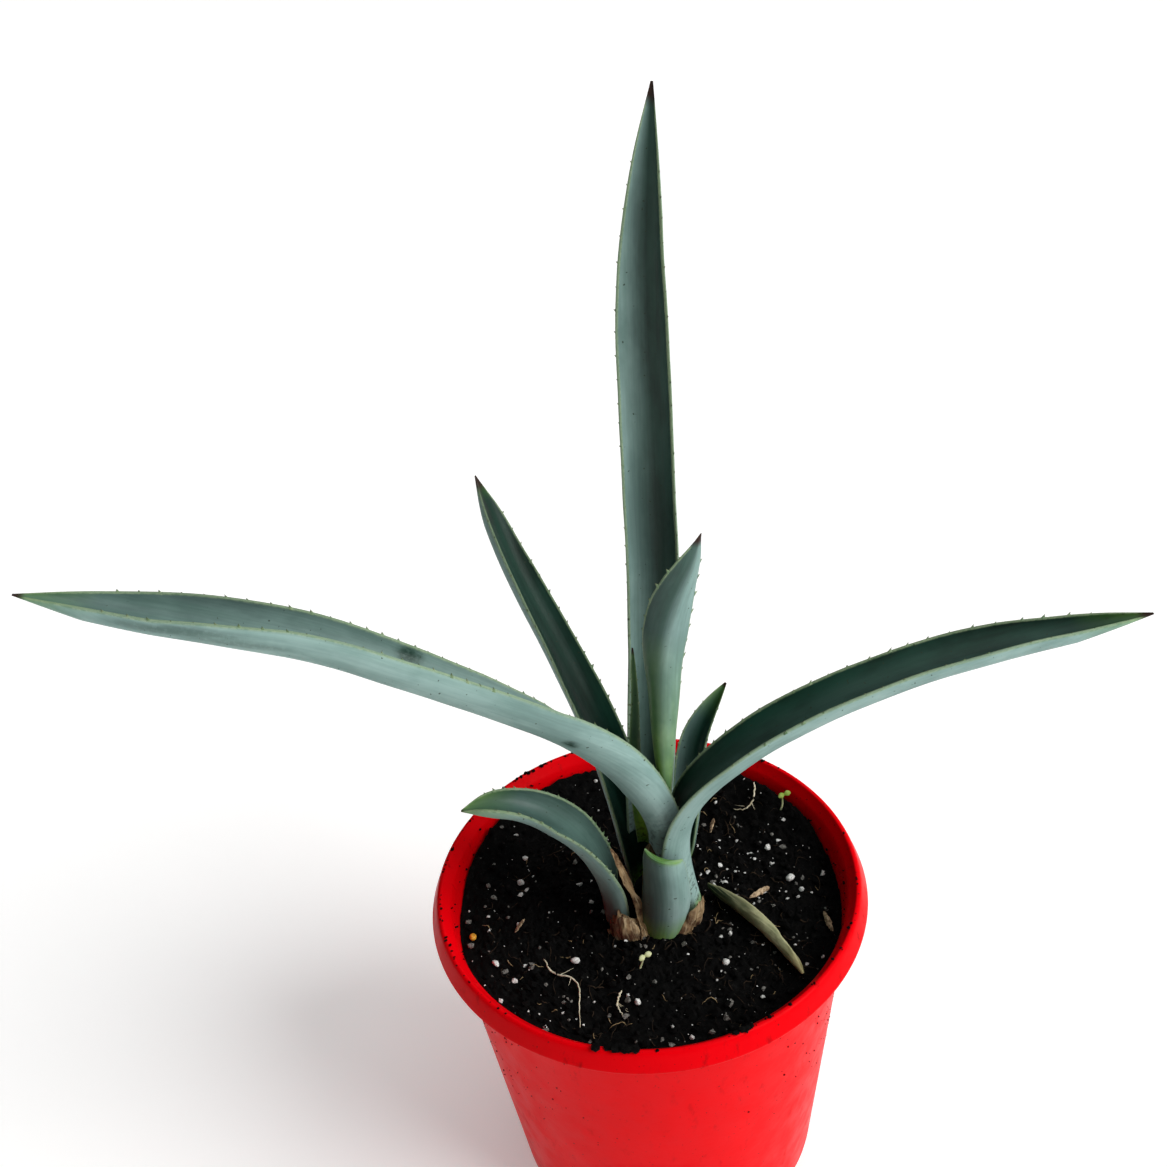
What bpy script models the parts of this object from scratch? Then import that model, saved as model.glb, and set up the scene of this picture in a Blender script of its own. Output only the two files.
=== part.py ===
"""Potted agave: a young plant in a thin-walled nursery pot.

Lengths are in millimetres in the tables and become metres through MM. The pot stands
on z = 0 with its axis on Z, and the plant's front faces -Y.
"""

import math

import bmesh
import bpy
import numpy as np
from mathutils import Matrix, Vector, noise

MM = 0.001
GAP = 0.3            # clearance between neighbouring pieces

# ---- pot -------------------------------------------------------------------------
POT_HEIGHT = 135.0
POT_SIDES = 48
LIP_RADIUS = 75.3
RIM_RADIUS = 77.8
RIM_HEIGHT = 7.7
RIM_SKIRT = 1.6
WALL = 1.7
WALL_TOP_RADIUS = 71.3
BASE_RADIUS = 56.3
FLOOR = 2.0
FOOT_RING_INNER = 51.0
RECESS_INNER = 28.0
RECESS_LIFT = 3.0
DRAIN_HOLES = 8
DRAIN_RADIUS = 4.5
DRAIN_CIRCLE = 40.0

# ---- potting mix -----------------------------------------------------------------
SOIL_TOP = 121.5
SOIL_BUMP = 1.6
SOIL_MOUND = 1.5
# The soil is banked up against the back of the pot.
SOIL_BANK = 7.5
BANK_START = 47.0
BANK_END = 67.0
BANK_FULL = 34.0
SOIL_RINGS = 9

# ---- stem and roots --------------------------------------------------------------
STEM_X = 3.5
STEM_Y = -1.0
STEM_PROFILE = [(0.6, 156.0), (3.2, 152.0), (5.0, 140.0), (6.2, 126.0), (7.0, 116.0),
                (6.4, 104.0), (4.2, 96.0), (1.5, 91.0)]
ROOT_COUNT = 6
ROOT_REACH = 34.0
ROOT_DROP = 52.0
ROOT_RADIUS = 1.7

# ---- leaves ----------------------------------------------------------------------
# A leaf is a gutter swept along its midrib. spine: points of the midrib; azimuth: the
# way the leaf leans, in degrees from +X; half: half its flat width at STATIONS; fold:
# half the angle that the gutter's arc turns through, and twist: its roll about the
# midrib, both spaced evenly from base to tip.
STATIONS = (0.0, 0.12, 0.3, 0.55, 0.8, 0.93, 1.0)
LEAVES = {
    "cut_leaf_stub": dict(
        spine=[(3, -13.5, 117), (5, -15, 130), (6, -15.5, 146), (6, -14.5, 164)],
        azimuth=270, half=(9.5, 10, 10, 9, 7.5, 7, 6.5), fold=(70, 62, 55, 45),
        twist=(0, 0, 0, 0), thick=2.6, rings=9),
    "lower_left_leaf": dict(
        spine=[(-13, -4, 119), (-16, -7, 150), (-26, -9, 173), (-43, -11, 188), (-60, -12, 190)],
        azimuth=190, half=(7, 8, 9, 9, 7, 4.4, 0.4), fold=(65, 78, 74, 74, 77),
        twist=(10, -8, -24, 10), thick=2.8, rings=13),
    "right_arching_leaf": dict(
        spine=[(15, -3, 124), (16.5, -3, 172), (43, -3, 199), (74, 0, 212.5), (106, 4, 219.5),
               (141, 7, 223.5), (173.5, 8, 228)],
        azimuth=0, half=(9, 10.5, 10.7, 11.2, 8.7, 3.9, 0.4), fold=(70, 64, 65, 64, 63, 72, 70),
        twist=(-30, -12, -4, -8, -9, -6, 0), thick=3.2, rings=20),
    "left_arching_leaf": dict(
        spine=[(4.5, -2, 140), (6.5, -2, 158), (-13.5, -2, 200), (-56, 0, 229), (-100.5, 3, 252.5),
               (-144.5, 7, 266), (-188.5, 8, 282.5)],
        azimuth=180, half=(6, 8, 13.7, 13.9, 11.3, 5.1, 0.4), fold=(70, 55, 65, 84, 92, 82, 74),
        twist=(50, 64, 34, 23, 14, 2, 8), thick=3.2, rings=22),
    "back_left_leaf": dict(
        spine=[(-1, 10, 128), (-10, 22, 177), (-22, 38, 209), (-36, 54, 240), (-45, 70, 268)],
        azimuth=120, half=(7, 9, 9.5, 9, 7.4, 4.6, 0.4), fold=(70, 57, 45, 55, 36),
        twist=(-5, 20, 30, 42), thick=2.6, rings=15),
    "thin_back_leaf": dict(
        spine=[(1, 8.5, 146), (0, 8.5, 190), (1.5, 9.5, 212), (2, 10.5, 234)],
        azimuth=90, half=(3, 3, 2.8, 2.2, 1.4, 0.9, 0.3), fold=(50, 45, 40, 30),
        twist=(-30, -30, -30, -30), thick=1.2, rings=9),
    "tall_leaf": dict(
        spine=[(2, 12, 130), (8, 20, 194), (12, 28, 250), (14, 34, 306), (16, 40, 360), (22, 46, 411)],
        azimuth=90, half=(8, 10, 10, 9.5, 7.6, 3.7, 0.4), fold=(74, 72, 62, 45, 50),
        twist=(-30, -12, -22, -22), thick=3.2, rings=20),
    "small_right_leaf": dict(
        spine=[(13, 12, 134), (19, 18, 163), (23, 24, 181), (34, 30, 198)],
        azimuth=60, half=(5, 6.5, 6.4, 6.2, 4, 1.9, 0.4), fold=(70, 64, 56, 45),
        twist=(0, -8, -6, 3), thick=2.4, rings=10),
    "young_centre_leaf": dict(
        spine=[(7.5, -2, 161), (8.7, 0, 191), (10, 2, 221), (14.6, 4, 251), (26, 6, 280.6)],
        azimuth=270, half=(3.2, 2.4, 4.2, 6.3, 7.5, 4.9, 0.4), fold=(65, 62, 55, 29, 8),
        twist=(-25, -22, -20, 9, 54), thick=2.2, rings=15),
    "dry_twisted_leaf": dict(
        spine=[(-3, -14.5, 119), (-5, -12.5, 138), (-8, -12, 150), (-12, -12.5, 166)],
        azimuth=200, half=(3.6, 2.8, 2.2, 2.0, 1.7, 1.2, 0.5), fold=(40, 50, 40, 50),
        twist=(-70, -60, -75, -60), thick=0.9, rings=9),
    "dry_scale_left": dict(
        spine=[(-9, -12.5, 117), (-10, -13.5, 124), (-11, -12, 133)],
        azimuth=240, half=(9, 9, 8.5, 7, 4, 2.2, 0.8), fold=(55, 50, 45),
        twist=(0, 0, 0), thick=1.2, rings=6),
    "dry_scale_right": dict(
        spine=[(14, -9.5, 117), (16.5, -10.5, 124), (18.5, -9.5, 133)],
        azimuth=320, half=(6, 6, 5.5, 4, 2.5, 1.5, 0.6), fold=(45, 40, 40),
        twist=(0, 0, 0), thick=1.2, rings=6),
    "fallen_leaf": dict(
        spine=[(22, 3, 125.5), (31, -8, 124.8), (41, -23, 124.2), (49, -40, 124.6)],
        azimuth=300, half=(5.5, 6.5, 6.5, 5.5, 4, 2.2, 0.5), fold=(80, 95, 100, 80),
        twist=(-50, -60, -70, -60), thick=1.4, rings=11),
}
# Which outer pieces each leaf gives way to at the crown.
GIVES_WAY = {
    "lower_left_leaf": ("dry_scale_left", "dry_twisted_leaf"),
    "cut_leaf_stub": ("dry_scale_left", "dry_scale_right", "dry_twisted_leaf"),
    "right_arching_leaf": ("cut_leaf_stub", "dry_scale_right"),
    "left_arching_leaf": ("root_crown", "right_arching_leaf", "cut_leaf_stub"),
    "back_left_leaf": ("root_crown", "left_arching_leaf"),
    "thin_back_leaf": ("root_crown", "left_arching_leaf", "back_left_leaf"),
    "tall_leaf": ("root_crown", "back_left_leaf", "thin_back_leaf", "right_arching_leaf"),
    "small_right_leaf": ("root_crown", "right_arching_leaf", "tall_leaf"),
    "young_centre_leaf": ("root_crown", "left_arching_leaf", "right_arching_leaf", "tall_leaf"),
    "dry_scale_left": ("dry_twisted_leaf",),
}
IN_THE_SOIL = ("cut_leaf_stub", "lower_left_leaf", "right_arching_leaf", "dry_twisted_leaf",
               "dry_scale_left", "dry_scale_right", "fallen_leaf")

# ---- loose things on the soil: place (x, y) and radius -----------------------------
BEAD = (-64.0, -6.0, 1.45)
PERLITE = [(-28, -22, 1.8), (-46, 18, 1.5), (-20, 42, 1.4), (52, 6, 1.9), (46, 22, 1.6),
           (24, -30, 1.4), (-8, -44, 1.6), (-56, -20, 1.7)]
PERLITE_SQUASH = 0.8
CHIPS = [(40, 0.5, 30, 9.0), (27, 36, 75, 8.0), (62, -16, 100, 9.5), (-47, -4, 60, 7.0)]
CHIP_WIDTH = 2.2
CHIP_HEIGHT = 1.4
ROOTLETS = {
    "rootlet_front": [(-39, -20), (-35, -27), (-29, -31), (-28, -42), (-28, -51)],
    "rootlet_middle": [(-13, -38), (-15, -43), (-13, -49)],
    "rootlet_right": [(45, 49), (44, 44), (41, 41), (36, 42)],
}
ROOTLET_RADIUS = 0.55
SEEDLINGS = {"seedling_front": (-6, -30, 5.0), "seedling_right": (53, 36, 7.0)}
SEEDLING_STALK = 0.7

COLOURS = {
    "red_plastic": ((0.72, 0.01, 0.03), 0.35),
    "potting_mix": ((0.012, 0.010, 0.009), 0.95),
    "root": ((0.30, 0.24, 0.15), 0.85),
    "leaf": ((0.10, 0.20, 0.18), 0.55),
    "dry_leaf": ((0.36, 0.25, 0.14), 0.85),
    "wilted_leaf": ((0.25, 0.28, 0.18), 0.75),
    "perlite": ((0.75, 0.75, 0.72), 0.9),
    "bark": ((0.42, 0.31, 0.22), 0.9),
    "rootlet": ((0.60, 0.55, 0.45), 0.8),
    "fertiliser": ((0.75, 0.45, 0.05), 0.4),
    "seedling": ((0.20, 0.36, 0.08), 0.6),
}


# ---- shared helpers ---------------------------------------------------------------
def clear_scene():
    for item in list(bpy.data.objects):
        bpy.data.objects.remove(item, do_unlink=True)


def material(kind):
    """The Principled material of one kind, made once."""
    found = bpy.data.materials.get(kind)
    if found:
        return found
    colour, roughness = COLOURS[kind]
    made = bpy.data.materials.new(kind)
    made.use_nodes = True
    shader = made.node_tree.nodes["Principled BSDF"]
    shader.inputs["Base Color"].default_value = (*colour, 1.0)
    shader.inputs["Roughness"].default_value = roughness
    return made


def add_object(name, bm, kind=None, smooth=True):
    """Turn a bmesh into a named object with its own material and outward faces."""
    bmesh.ops.recalc_face_normals(bm, faces=bm.faces)
    mesh = bpy.data.meshes.new(name)
    bm.to_mesh(mesh)
    bm.free()
    if smooth:
        mesh.shade_smooth()
        mesh.set_sharp_from_angle(angle=math.radians(40))
    made = bpy.data.objects.new(name, mesh)
    bpy.context.scene.collection.objects.link(made)
    if kind:
        own = material(kind).copy()
        own.name = name
        mesh.materials.append(own)
    return made


def as_cutter(made):
    made.hide_render = True
    made.display_type = "WIRE"
    return made


def cut(piece, cutter):
    """Take one object's shape out of another."""
    boolean = piece.modifiers.new("cut_" + cutter.name, "BOOLEAN")
    boolean.operation = "DIFFERENCE"
    boolean.solver = "EXACT"
    boolean.object = cutter


def apply_and_keep_largest(piece):
    """Apply the cuts, then drop any sliver that they left loose."""
    graph = bpy.context.evaluated_depsgraph_get()
    result = bpy.data.meshes.new_from_object(piece.evaluated_get(graph))
    piece.modifiers.clear()
    bm = bmesh.new()
    bm.from_mesh(result)
    bmesh.ops.remove_doubles(bm, verts=bm.verts, dist=0.01 * MM)
    islands = []
    unseen = set(bm.verts)
    while unseen:
        island = grow_island(next(v for v in bm.verts if v in unseen))
        unseen -= island
        islands.append(island)
    islands.sort(key=len, reverse=True)
    for island in islands[1:]:
        bmesh.ops.delete(bm, geom=list(island), context="VERTS")
    bm.to_mesh(piece.data)
    bm.free()
    bpy.data.meshes.remove(result)


def grow_island(seed):
    """Every vertex that edges join to the seed."""
    island = {seed}
    frontier = [seed]
    while frontier:
        for edge in frontier.pop().link_edges:
            for vert in edge.verts:
                if vert not in island:
                    island.add(vert)
                    frontier.append(vert)
    return island


def turned(profile, sides, centre=(0.0, 0.0)):
    """A closed solid turned about a vertical axis from (radius, z) points in mm."""
    bm = bmesh.new()
    rings = []
    for radius, z in profile:
        if radius == 0.0:
            rings.append([bm.verts.new((centre[0] * MM, centre[1] * MM, z * MM))])
            continue
        ring = []
        for k in range(sides):
            turn = 2 * math.pi * k / sides
            ring.append(bm.verts.new(((centre[0] + radius * math.cos(turn)) * MM,
                                      (centre[1] + radius * math.sin(turn)) * MM, z * MM)))
        rings.append(ring)
    for upper, lower in zip(rings, rings[1:] + rings[:1]):
        join_rings(bm, upper, lower, sides)
    return bm


def join_rings(bm, upper, lower, sides):
    if len(upper) == 1 and len(lower) == 1:
        return
    for k in range(sides):
        n = (k + 1) % sides
        if len(upper) == 1:
            bm.faces.new((upper[0], lower[k], lower[n]))
        elif len(lower) == 1:
            bm.faces.new((upper[k], lower[0], upper[n]))
        else:
            bm.faces.new((upper[k], lower[k], lower[n], upper[n]))


def cubic_through(points, count):
    """Points of a natural cubic spline through the given points, evenly spaced along it."""
    knots = np.asarray(points, float)
    chord = np.linalg.norm(np.diff(knots, axis=0), axis=1)
    at = np.concatenate([[0.0], np.cumsum(chord)])
    n = len(knots)
    system = np.eye(n)
    right = np.zeros_like(knots)
    for i in range(1, n - 1):
        system[i, i - 1:i + 2] = chord[i - 1], 2 * (chord[i - 1] + chord[i]), chord[i]
        slope_out = (knots[i + 1] - knots[i]) / chord[i]
        slope_in = (knots[i] - knots[i - 1]) / chord[i - 1]
        right[i] = 6 * (slope_out - slope_in)
    bend = np.linalg.solve(system, right)
    fine = np.linspace(0.0, at[-1], 24 * n)
    k = np.clip(np.searchsorted(at, fine, side="right") - 1, 0, n - 2)
    h = chord[k][:, None]
    a = (at[k + 1] - fine)[:, None]
    b = (fine - at[k])[:, None]
    curve = (bend[k] * a ** 3 + bend[k + 1] * b ** 3) / (6 * h)
    curve += (knots[k] / h - bend[k] * h / 6) * a + (knots[k + 1] / h - bend[k + 1] * h / 6) * b
    run = np.concatenate([[0.0], np.cumsum(np.linalg.norm(np.diff(curve, axis=0), axis=1))])
    even = np.linspace(0.0, run[-1], count)
    return np.stack([np.interp(even, run, curve[:, axis]) for axis in range(3)], axis=1)


def eased(t, stations, values):
    """Interpolate values at t with a smooth ease between neighbours."""
    stations = np.asarray(stations, float)
    values = np.asarray(values, float)
    slopes = np.gradient(values, stations)
    k = int(np.clip(np.searchsorted(stations, t, side="right") - 1, 0, len(stations) - 2))
    h = stations[k + 1] - stations[k]
    s = (t - stations[k]) / h
    rise = values[k + 1] - values[k]
    hermite = values[k] + rise * (3 * s * s - 2 * s ** 3)
    hermite += h * (slopes[k] * s * (1 - s) ** 2 - slopes[k + 1] * s * s * (1 - s))
    low, high = sorted((values[k], values[k + 1]))
    return float(np.clip(hermite, low, high))


# ---- leaves ----------------------------------------------------------------------
def leaf_ring(centre, side, up, half, fold, thick, grow):
    """The closed outline of one gutter section: the inner arc, then the outer arc back."""
    steps = (-1.0, -0.5, 0.0, 0.5, 1.0)
    fold = max(fold, 0.02)
    inner = []
    outer = []
    for u in steps:
        angle = fold * u
        radius = half / fold
        normal = -side * math.sin(angle) + up * math.cos(angle)
        outward = side * math.cos(angle) + up * math.sin(angle)
        middle = centre + side * radius * math.sin(angle) + up * radius * (1 - math.cos(angle))
        if abs(u) == 1.0:
            middle += outward * u * grow
        depth = thick * min(1.0, half / 6.0) * (1 - 0.7 * abs(u) ** 2)
        inner.append(middle + normal * grow)
        outer.append(middle - normal * (depth + grow))
    return inner + outer[::-1]


def leaf(name, spec, grow=0.0):
    """A bmesh of one leaf, or of its shape grown all round by some millimetres."""
    count = spec["rings"]
    spine = cubic_through(spec["spine"], count)
    tangents = np.gradient(spine, axis=0)
    lean = math.radians(spec["azimuth"])
    across = Vector((-math.sin(lean), math.cos(lean), 0.0))
    even = np.linspace(0.0, 1.0, len(spec["fold"]))
    bm = bmesh.new()
    rings = []
    for i in range(count):
        t = i / (count - 1)
        along = Vector(tangents[i]).normalized()
        up = along.cross(across).normalized()
        side = up.cross(along).normalized()
        roll = math.radians(float(np.interp(t, np.linspace(0, 1, len(spec["twist"])), spec["twist"])))
        turned_side = side * math.cos(roll) + up * math.sin(roll)
        turned_up = up * math.cos(roll) - side * math.sin(roll)
        centre = Vector(spine[i])
        if grow and i == 0:
            centre -= along * grow
        if grow and i == count - 1:
            centre += along * grow
        half = eased(t, STATIONS, spec["half"])
        fold = math.radians(float(np.interp(t, even, spec["fold"])))
        ring = leaf_ring(centre, turned_side, turned_up, half, fold, spec["thick"], grow)
        rings.append([bm.verts.new(point * MM) for point in ring])
    size = len(rings[0])
    for lower, upper in zip(rings, rings[1:]):
        for k in range(size):
            n = (k + 1) % size
            bm.faces.new((lower[k], lower[n], upper[n], upper[k]))
    bm.faces.new(rings[0])
    bm.faces.new(rings[-1][::-1])
    bmesh.ops.triangulate(bm, faces=bm.faces)
    return bm


def leaf_kind(name):
    if name.startswith("dry"):
        return "dry_leaf"
    return "wilted_leaf" if name.startswith("fallen") else "leaf"


# ---- pot, soil and crown -----------------------------------------------------------
def wall_radius(z, inside=0.0):
    """The pot wall's radius at a height, less a distance inwards."""
    return BASE_RADIUS + (WALL_TOP_RADIUS - BASE_RADIUS) * z / (POT_HEIGHT - RIM_HEIGHT) - inside


def pot():
    skirt_foot = POT_HEIGHT - RIM_HEIGHT
    under_rim = POT_HEIGHT - 2.0
    profile = [
        (LIP_RADIUS - 1.0, POT_HEIGHT), (LIP_RADIUS - 0.1, POT_HEIGHT - 0.4),
        (LIP_RADIUS + 0.6, POT_HEIGHT - 1.8), (RIM_RADIUS - 0.6, skirt_foot + 2.4),
        (RIM_RADIUS, skirt_foot + 0.4), (RIM_RADIUS - 0.4, skirt_foot),
        (RIM_RADIUS - RIM_SKIRT, skirt_foot), (LIP_RADIUS - 0.7, under_rim - 1.0),
        (LIP_RADIUS - 1.7, under_rim), (wall_radius(under_rim) + 0.3, under_rim - 0.8),
        (wall_radius(skirt_foot), skirt_foot),
        (wall_radius(3.0), 3.0), (BASE_RADIUS - 0.6, 0.6), (BASE_RADIUS - 1.6, 0.0),
        (FOOT_RING_INNER, 0.0), (FOOT_RING_INNER - 1.0, RECESS_LIFT),
        (RECESS_INNER, RECESS_LIFT), (RECESS_INNER - 1.0, 0.0), (0.0, 0.0),
        (0.0, FLOOR), (RECESS_INNER - 1.0, FLOOR), (RECESS_INNER, RECESS_LIFT + FLOOR),
        (FOOT_RING_INNER - 1.0, RECESS_LIFT + FLOOR), (FOOT_RING_INNER, FLOOR),
        (wall_radius(FLOOR, WALL + 1.0), FLOOR), (wall_radius(FLOOR + 1.0, WALL), FLOOR + 1.0),
        (wall_radius(skirt_foot, WALL), skirt_foot), (wall_radius(under_rim, WALL) + 0.8, under_rim - 1.0),
        (LIP_RADIUS - 1.9, POT_HEIGHT - 0.6), (LIP_RADIUS - 1.5, POT_HEIGHT),
    ]
    made = add_object("pot", turned(profile, POT_SIDES), "red_plastic")
    for k in range(DRAIN_HOLES):
        bm = bmesh.new()
        bmesh.ops.create_cone(bm, cap_ends=True, segments=12, radius1=DRAIN_RADIUS * MM,
                              radius2=DRAIN_RADIUS * MM, depth=14 * MM)
        drill = as_cutter(add_object(f"drain_cutter_{k + 1}", bm))
        turn = 2 * math.pi * (k + 0.5) / DRAIN_HOLES
        drill.location = (DRAIN_CIRCLE * math.cos(turn) * MM, DRAIN_CIRCLE * math.sin(turn) * MM, 4 * MM)
        cut(made, drill)
    return made


def soil_height(x, y):
    """Height in mm of the lumpy soil surface at a place on it."""
    lumps = noise.noise(Vector((x, y, 0.0)) * 0.07) + 0.6 * noise.noise(Vector((x, y, 9.0)) * 0.17)
    mound = SOIL_MOUND * math.exp(-(x * x + y * y) / 900.0)
    outward = min(1.0, max(0.0, (math.hypot(x, y) - BANK_START) / (BANK_END - BANK_START)))
    backward = min(1.0, max(0.0, y / BANK_FULL))
    return SOIL_TOP + SOIL_BUMP * lumps + mound + SOIL_BANK * (outward * backward) ** 1.5


def potting_mix():
    """The soil: the pot's inside shape below, lumpy on top."""
    bm = bmesh.new()
    clear = WALL + GAP
    below = [
        (wall_radius(SOIL_TOP - 3.0, clear), SOIL_TOP - 3.0),
        (wall_radius(FLOOR + 1.5, clear), FLOOR + 1.5),
        (wall_radius(FLOOR, clear + 1.3), FLOOR + GAP), (FOOT_RING_INNER + 0.4, FLOOR + GAP),
        (FOOT_RING_INNER - 0.6, RECESS_LIFT + FLOOR + GAP),
        (RECESS_INNER - 0.4, RECESS_LIFT + FLOOR + GAP), (RECESS_INNER - 1.4, FLOOR + GAP),
    ]
    top_radius = wall_radius(SOIL_TOP, clear + 0.2)
    rings = []
    for j in range(SOIL_RINGS, 0, -1):
        radius = top_radius * j / SOIL_RINGS
        rings.append(soil_ring(bm, radius, None))
    heart = bm.verts.new((0.0, 0.0, soil_height(0.0, 0.0) * MM))
    join_rings(bm, rings[-1], [heart], POT_SIDES)
    for outer, inner in zip(rings, rings[1:]):
        join_rings(bm, outer, inner, POT_SIDES)
    last = rings[0]
    for radius, z in below:
        ring = soil_ring(bm, radius, z)
        join_rings(bm, last, ring, POT_SIDES)
        last = ring
    foot = bm.verts.new((0.0, 0.0, (FLOOR + GAP) * MM))
    join_rings(bm, last, [foot], POT_SIDES)
    return add_object("potting_mix", bm, "potting_mix")


def soil_ring(bm, radius, z):
    """One ring of the soil, at a height or, with None, on its lumpy surface."""
    ring = []
    for k in range(POT_SIDES):
        turn = 2 * math.pi * k / POT_SIDES
        x = radius * math.cos(turn)
        y = radius * math.sin(turn)
        height = soil_height(x, y) if z is None else z
        ring.append(bm.verts.new((x * MM, y * MM, height * MM)))
    return ring


def tube(points, radii, sides):
    """A closed tube through points in mm with a radius at each, tapering to its ends."""
    bm = bmesh.new()
    path = np.asarray(points, float)
    tangents = np.gradient(path, axis=0)
    rings = []
    for place, tangent, radius in zip(path, tangents, radii):
        along = Vector(tangent).normalized()
        side = along.orthogonal().normalized() if not rings else (side - along * side.dot(along)).normalized()
        up = along.cross(side)
        ring = []
        for k in range(sides):
            turn = 2 * math.pi * k / sides
            spoke = side * math.cos(turn) + up * math.sin(turn)
            ring.append(bm.verts.new((Vector(place) + spoke * radius) * MM))
        rings.append(ring)
    for lower, upper in zip(rings, rings[1:]):
        join_rings(bm, lower, upper, sides)
    bm.faces.new(rings[0][::-1])
    bm.faces.new(rings[-1])
    return bm


def root_path(k):
    turn = 2 * math.pi * (k + 0.3) / ROOT_COUNT
    heart = (STEM_X, STEM_Y, 108.0)
    out = np.linspace(0.15, 1.0, 9)
    reach = ROOT_REACH * (0.8 + 0.2 * math.cos(3 * turn))
    return [(heart[0] + reach * math.cos(turn + 0.5 * s) * s,
             heart[1] + reach * math.sin(turn + 0.5 * s) * s,
             heart[2] - ROOT_DROP * s ** 1.6) for s in out]


def root_crown(grow=0.0):
    """The short stem with its main roots, joined into one body."""
    name = "root_crown" + ("_cutter" if grow else "")
    profile = [(0.0, STEM_PROFILE[0][1] + grow)]
    profile += [(radius + grow, z) for radius, z in STEM_PROFILE]
    profile += [(0.0, STEM_PROFILE[-1][1] - 1.0 - grow)]
    made = add_object(name, turned(profile, 16, (STEM_X, STEM_Y)), "root")
    for k in range(ROOT_COUNT):
        path = root_path(k)
        radii = [ROOT_RADIUS * (1.15 - 0.8 * i / (len(path) - 1)) + grow for i in range(len(path))]
        root = as_cutter(add_object(f"{name}_branch_{k + 1}", tube(path, radii, 8)))
        union = made.modifiers.new("root", "BOOLEAN")
        union.operation = "UNION"
        union.solver = "EXACT"
        union.object = root
    return made


# ---- loose things on the soil ------------------------------------------------------
def pebble(x, y, radius, kind, squash, grow=0.0, sink=0.35):
    """A grain or bead half set in the soil: a ball, roughened if it is perlite."""
    bm = bmesh.new()
    bmesh.ops.create_icosphere(bm, subdivisions=1 if kind == "perlite" else 2, radius=(radius + grow) * MM)
    for vert in bm.verts:
        rough = 1.0 if kind == "fertiliser" else 1 + 0.14 * noise.noise(vert.co * 900 + Vector((x, y, 0)))
        vert.co = Vector((vert.co.x, vert.co.y, vert.co.z * squash)) * rough
        vert.co += Vector((x, y, soil_height(x, y) + radius * squash - sink)) * MM
    return bm


def chip(x, y, turn, length, grow=0.0):
    """A bark chip: a tapered splinter lying flat."""
    bm = bmesh.new()
    bmesh.ops.create_cube(bm, size=1.0)
    lengthways = [e for e in bm.edges if abs(e.verts[0].co.x - e.verts[1].co.x) > 0.5]
    bmesh.ops.subdivide_edges(bm, edges=lengthways, cuts=3)
    for vert in bm.verts:
        taper = 1.0 - 0.9 * abs(vert.co.x) ** 1.5
        vert.co = Vector((vert.co.x * (length + 2 * grow),
                          vert.co.y * (CHIP_WIDTH * taper + 2 * grow),
                          vert.co.z * (CHIP_HEIGHT * taper + 2 * grow)))
    spin = Matrix.Rotation(math.radians(turn), 3, "Z")
    seat = Vector((x, y, soil_height(x, y) + 0.9))
    for vert in bm.verts:
        vert.co = (spin @ vert.co + seat) * MM
    return bm


def rootlet(route, grow=0.0):
    flat = cubic_through([(x, y, 0.0) for x, y in route], 12)
    path = [(x, y, soil_height(x, y) + ROOTLET_RADIUS + 0.3) for x, y, _ in flat]
    radii = [ROOTLET_RADIUS * (1.0 - 0.5 * i / 11) + grow for i in range(12)]
    return tube(path, radii, 6)


def seedling(x, y, height, grow=0.0):
    """A weed seedling: a stalk that leans over and ends in a thick folded seed leaf."""
    base = soil_height(x, y) - 1.5
    rise = np.linspace(0.0, 1.0, 9)
    path = [(x + 2.2 * s * s, y + 1.0 * s, base + (height + 1.5) * s) for s in rise]
    radii = [SEEDLING_STALK + 0.9 * math.exp(-((s - 0.85) / 0.14) ** 2) + grow for s in rise]
    return tube(path, radii, 8)


def loose_things():
    """Every loose piece as name, kind and a function of how far it is grown."""
    items = [("fertiliser_bead", "fertiliser",
              lambda g: pebble(*BEAD, "fertiliser", 1.0, g))]
    for i, grain in enumerate(PERLITE):
        items.append((f"perlite_grain_{i + 1}", "perlite",
                      lambda g, p=grain: pebble(*p, "perlite", PERLITE_SQUASH, g)))
    for i, splinter in enumerate(CHIPS):
        items.append((f"bark_chip_{i + 1}", "bark", lambda g, c=splinter: chip(*c, g)))
    for name, route in ROOTLETS.items():
        items.append((name, "rootlet", lambda g, r=route: rootlet(r, g)))
    for name, place in SEEDLINGS.items():
        items.append((name, "seedling", lambda g, s=place: seedling(*s, g)))
    return items


def main():
    clear_scene()
    pot()
    soil = potting_mix()
    cutters = {"root_crown": as_cutter(root_crown(GAP))}
    root_crown()
    for name, spec in LEAVES.items():
        cutters[name] = as_cutter(add_object(name + "_cutter", leaf(name, spec, GAP)))
    for name, spec in LEAVES.items():
        made = add_object(name, leaf(name, spec), leaf_kind(name))
        for other in GIVES_WAY.get(name, ()):
            cut(made, cutters[other])
        if name in GIVES_WAY:
            apply_and_keep_largest(made)
    cut(soil, cutters["root_crown"])
    for name in IN_THE_SOIL:
        cut(soil, cutters[name])
    for name, kind, shape in loose_things():
        add_object(name, shape(0.0), kind)
        cut(soil, as_cutter(add_object(name + "_cutter", shape(GAP))))
    apply_and_keep_largest(soil)


main()
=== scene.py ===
"""Potted agave: the finished look of a young plant in a red nursery pot.

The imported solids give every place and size. Lengths in the tables are in millimetres.
"""

import math

import bmesh
import bpy
import numpy as np
from bpy.props import FloatProperty, FloatVectorProperty, IntProperty, StringProperty
from mathutils import Matrix, Vector, noise


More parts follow.
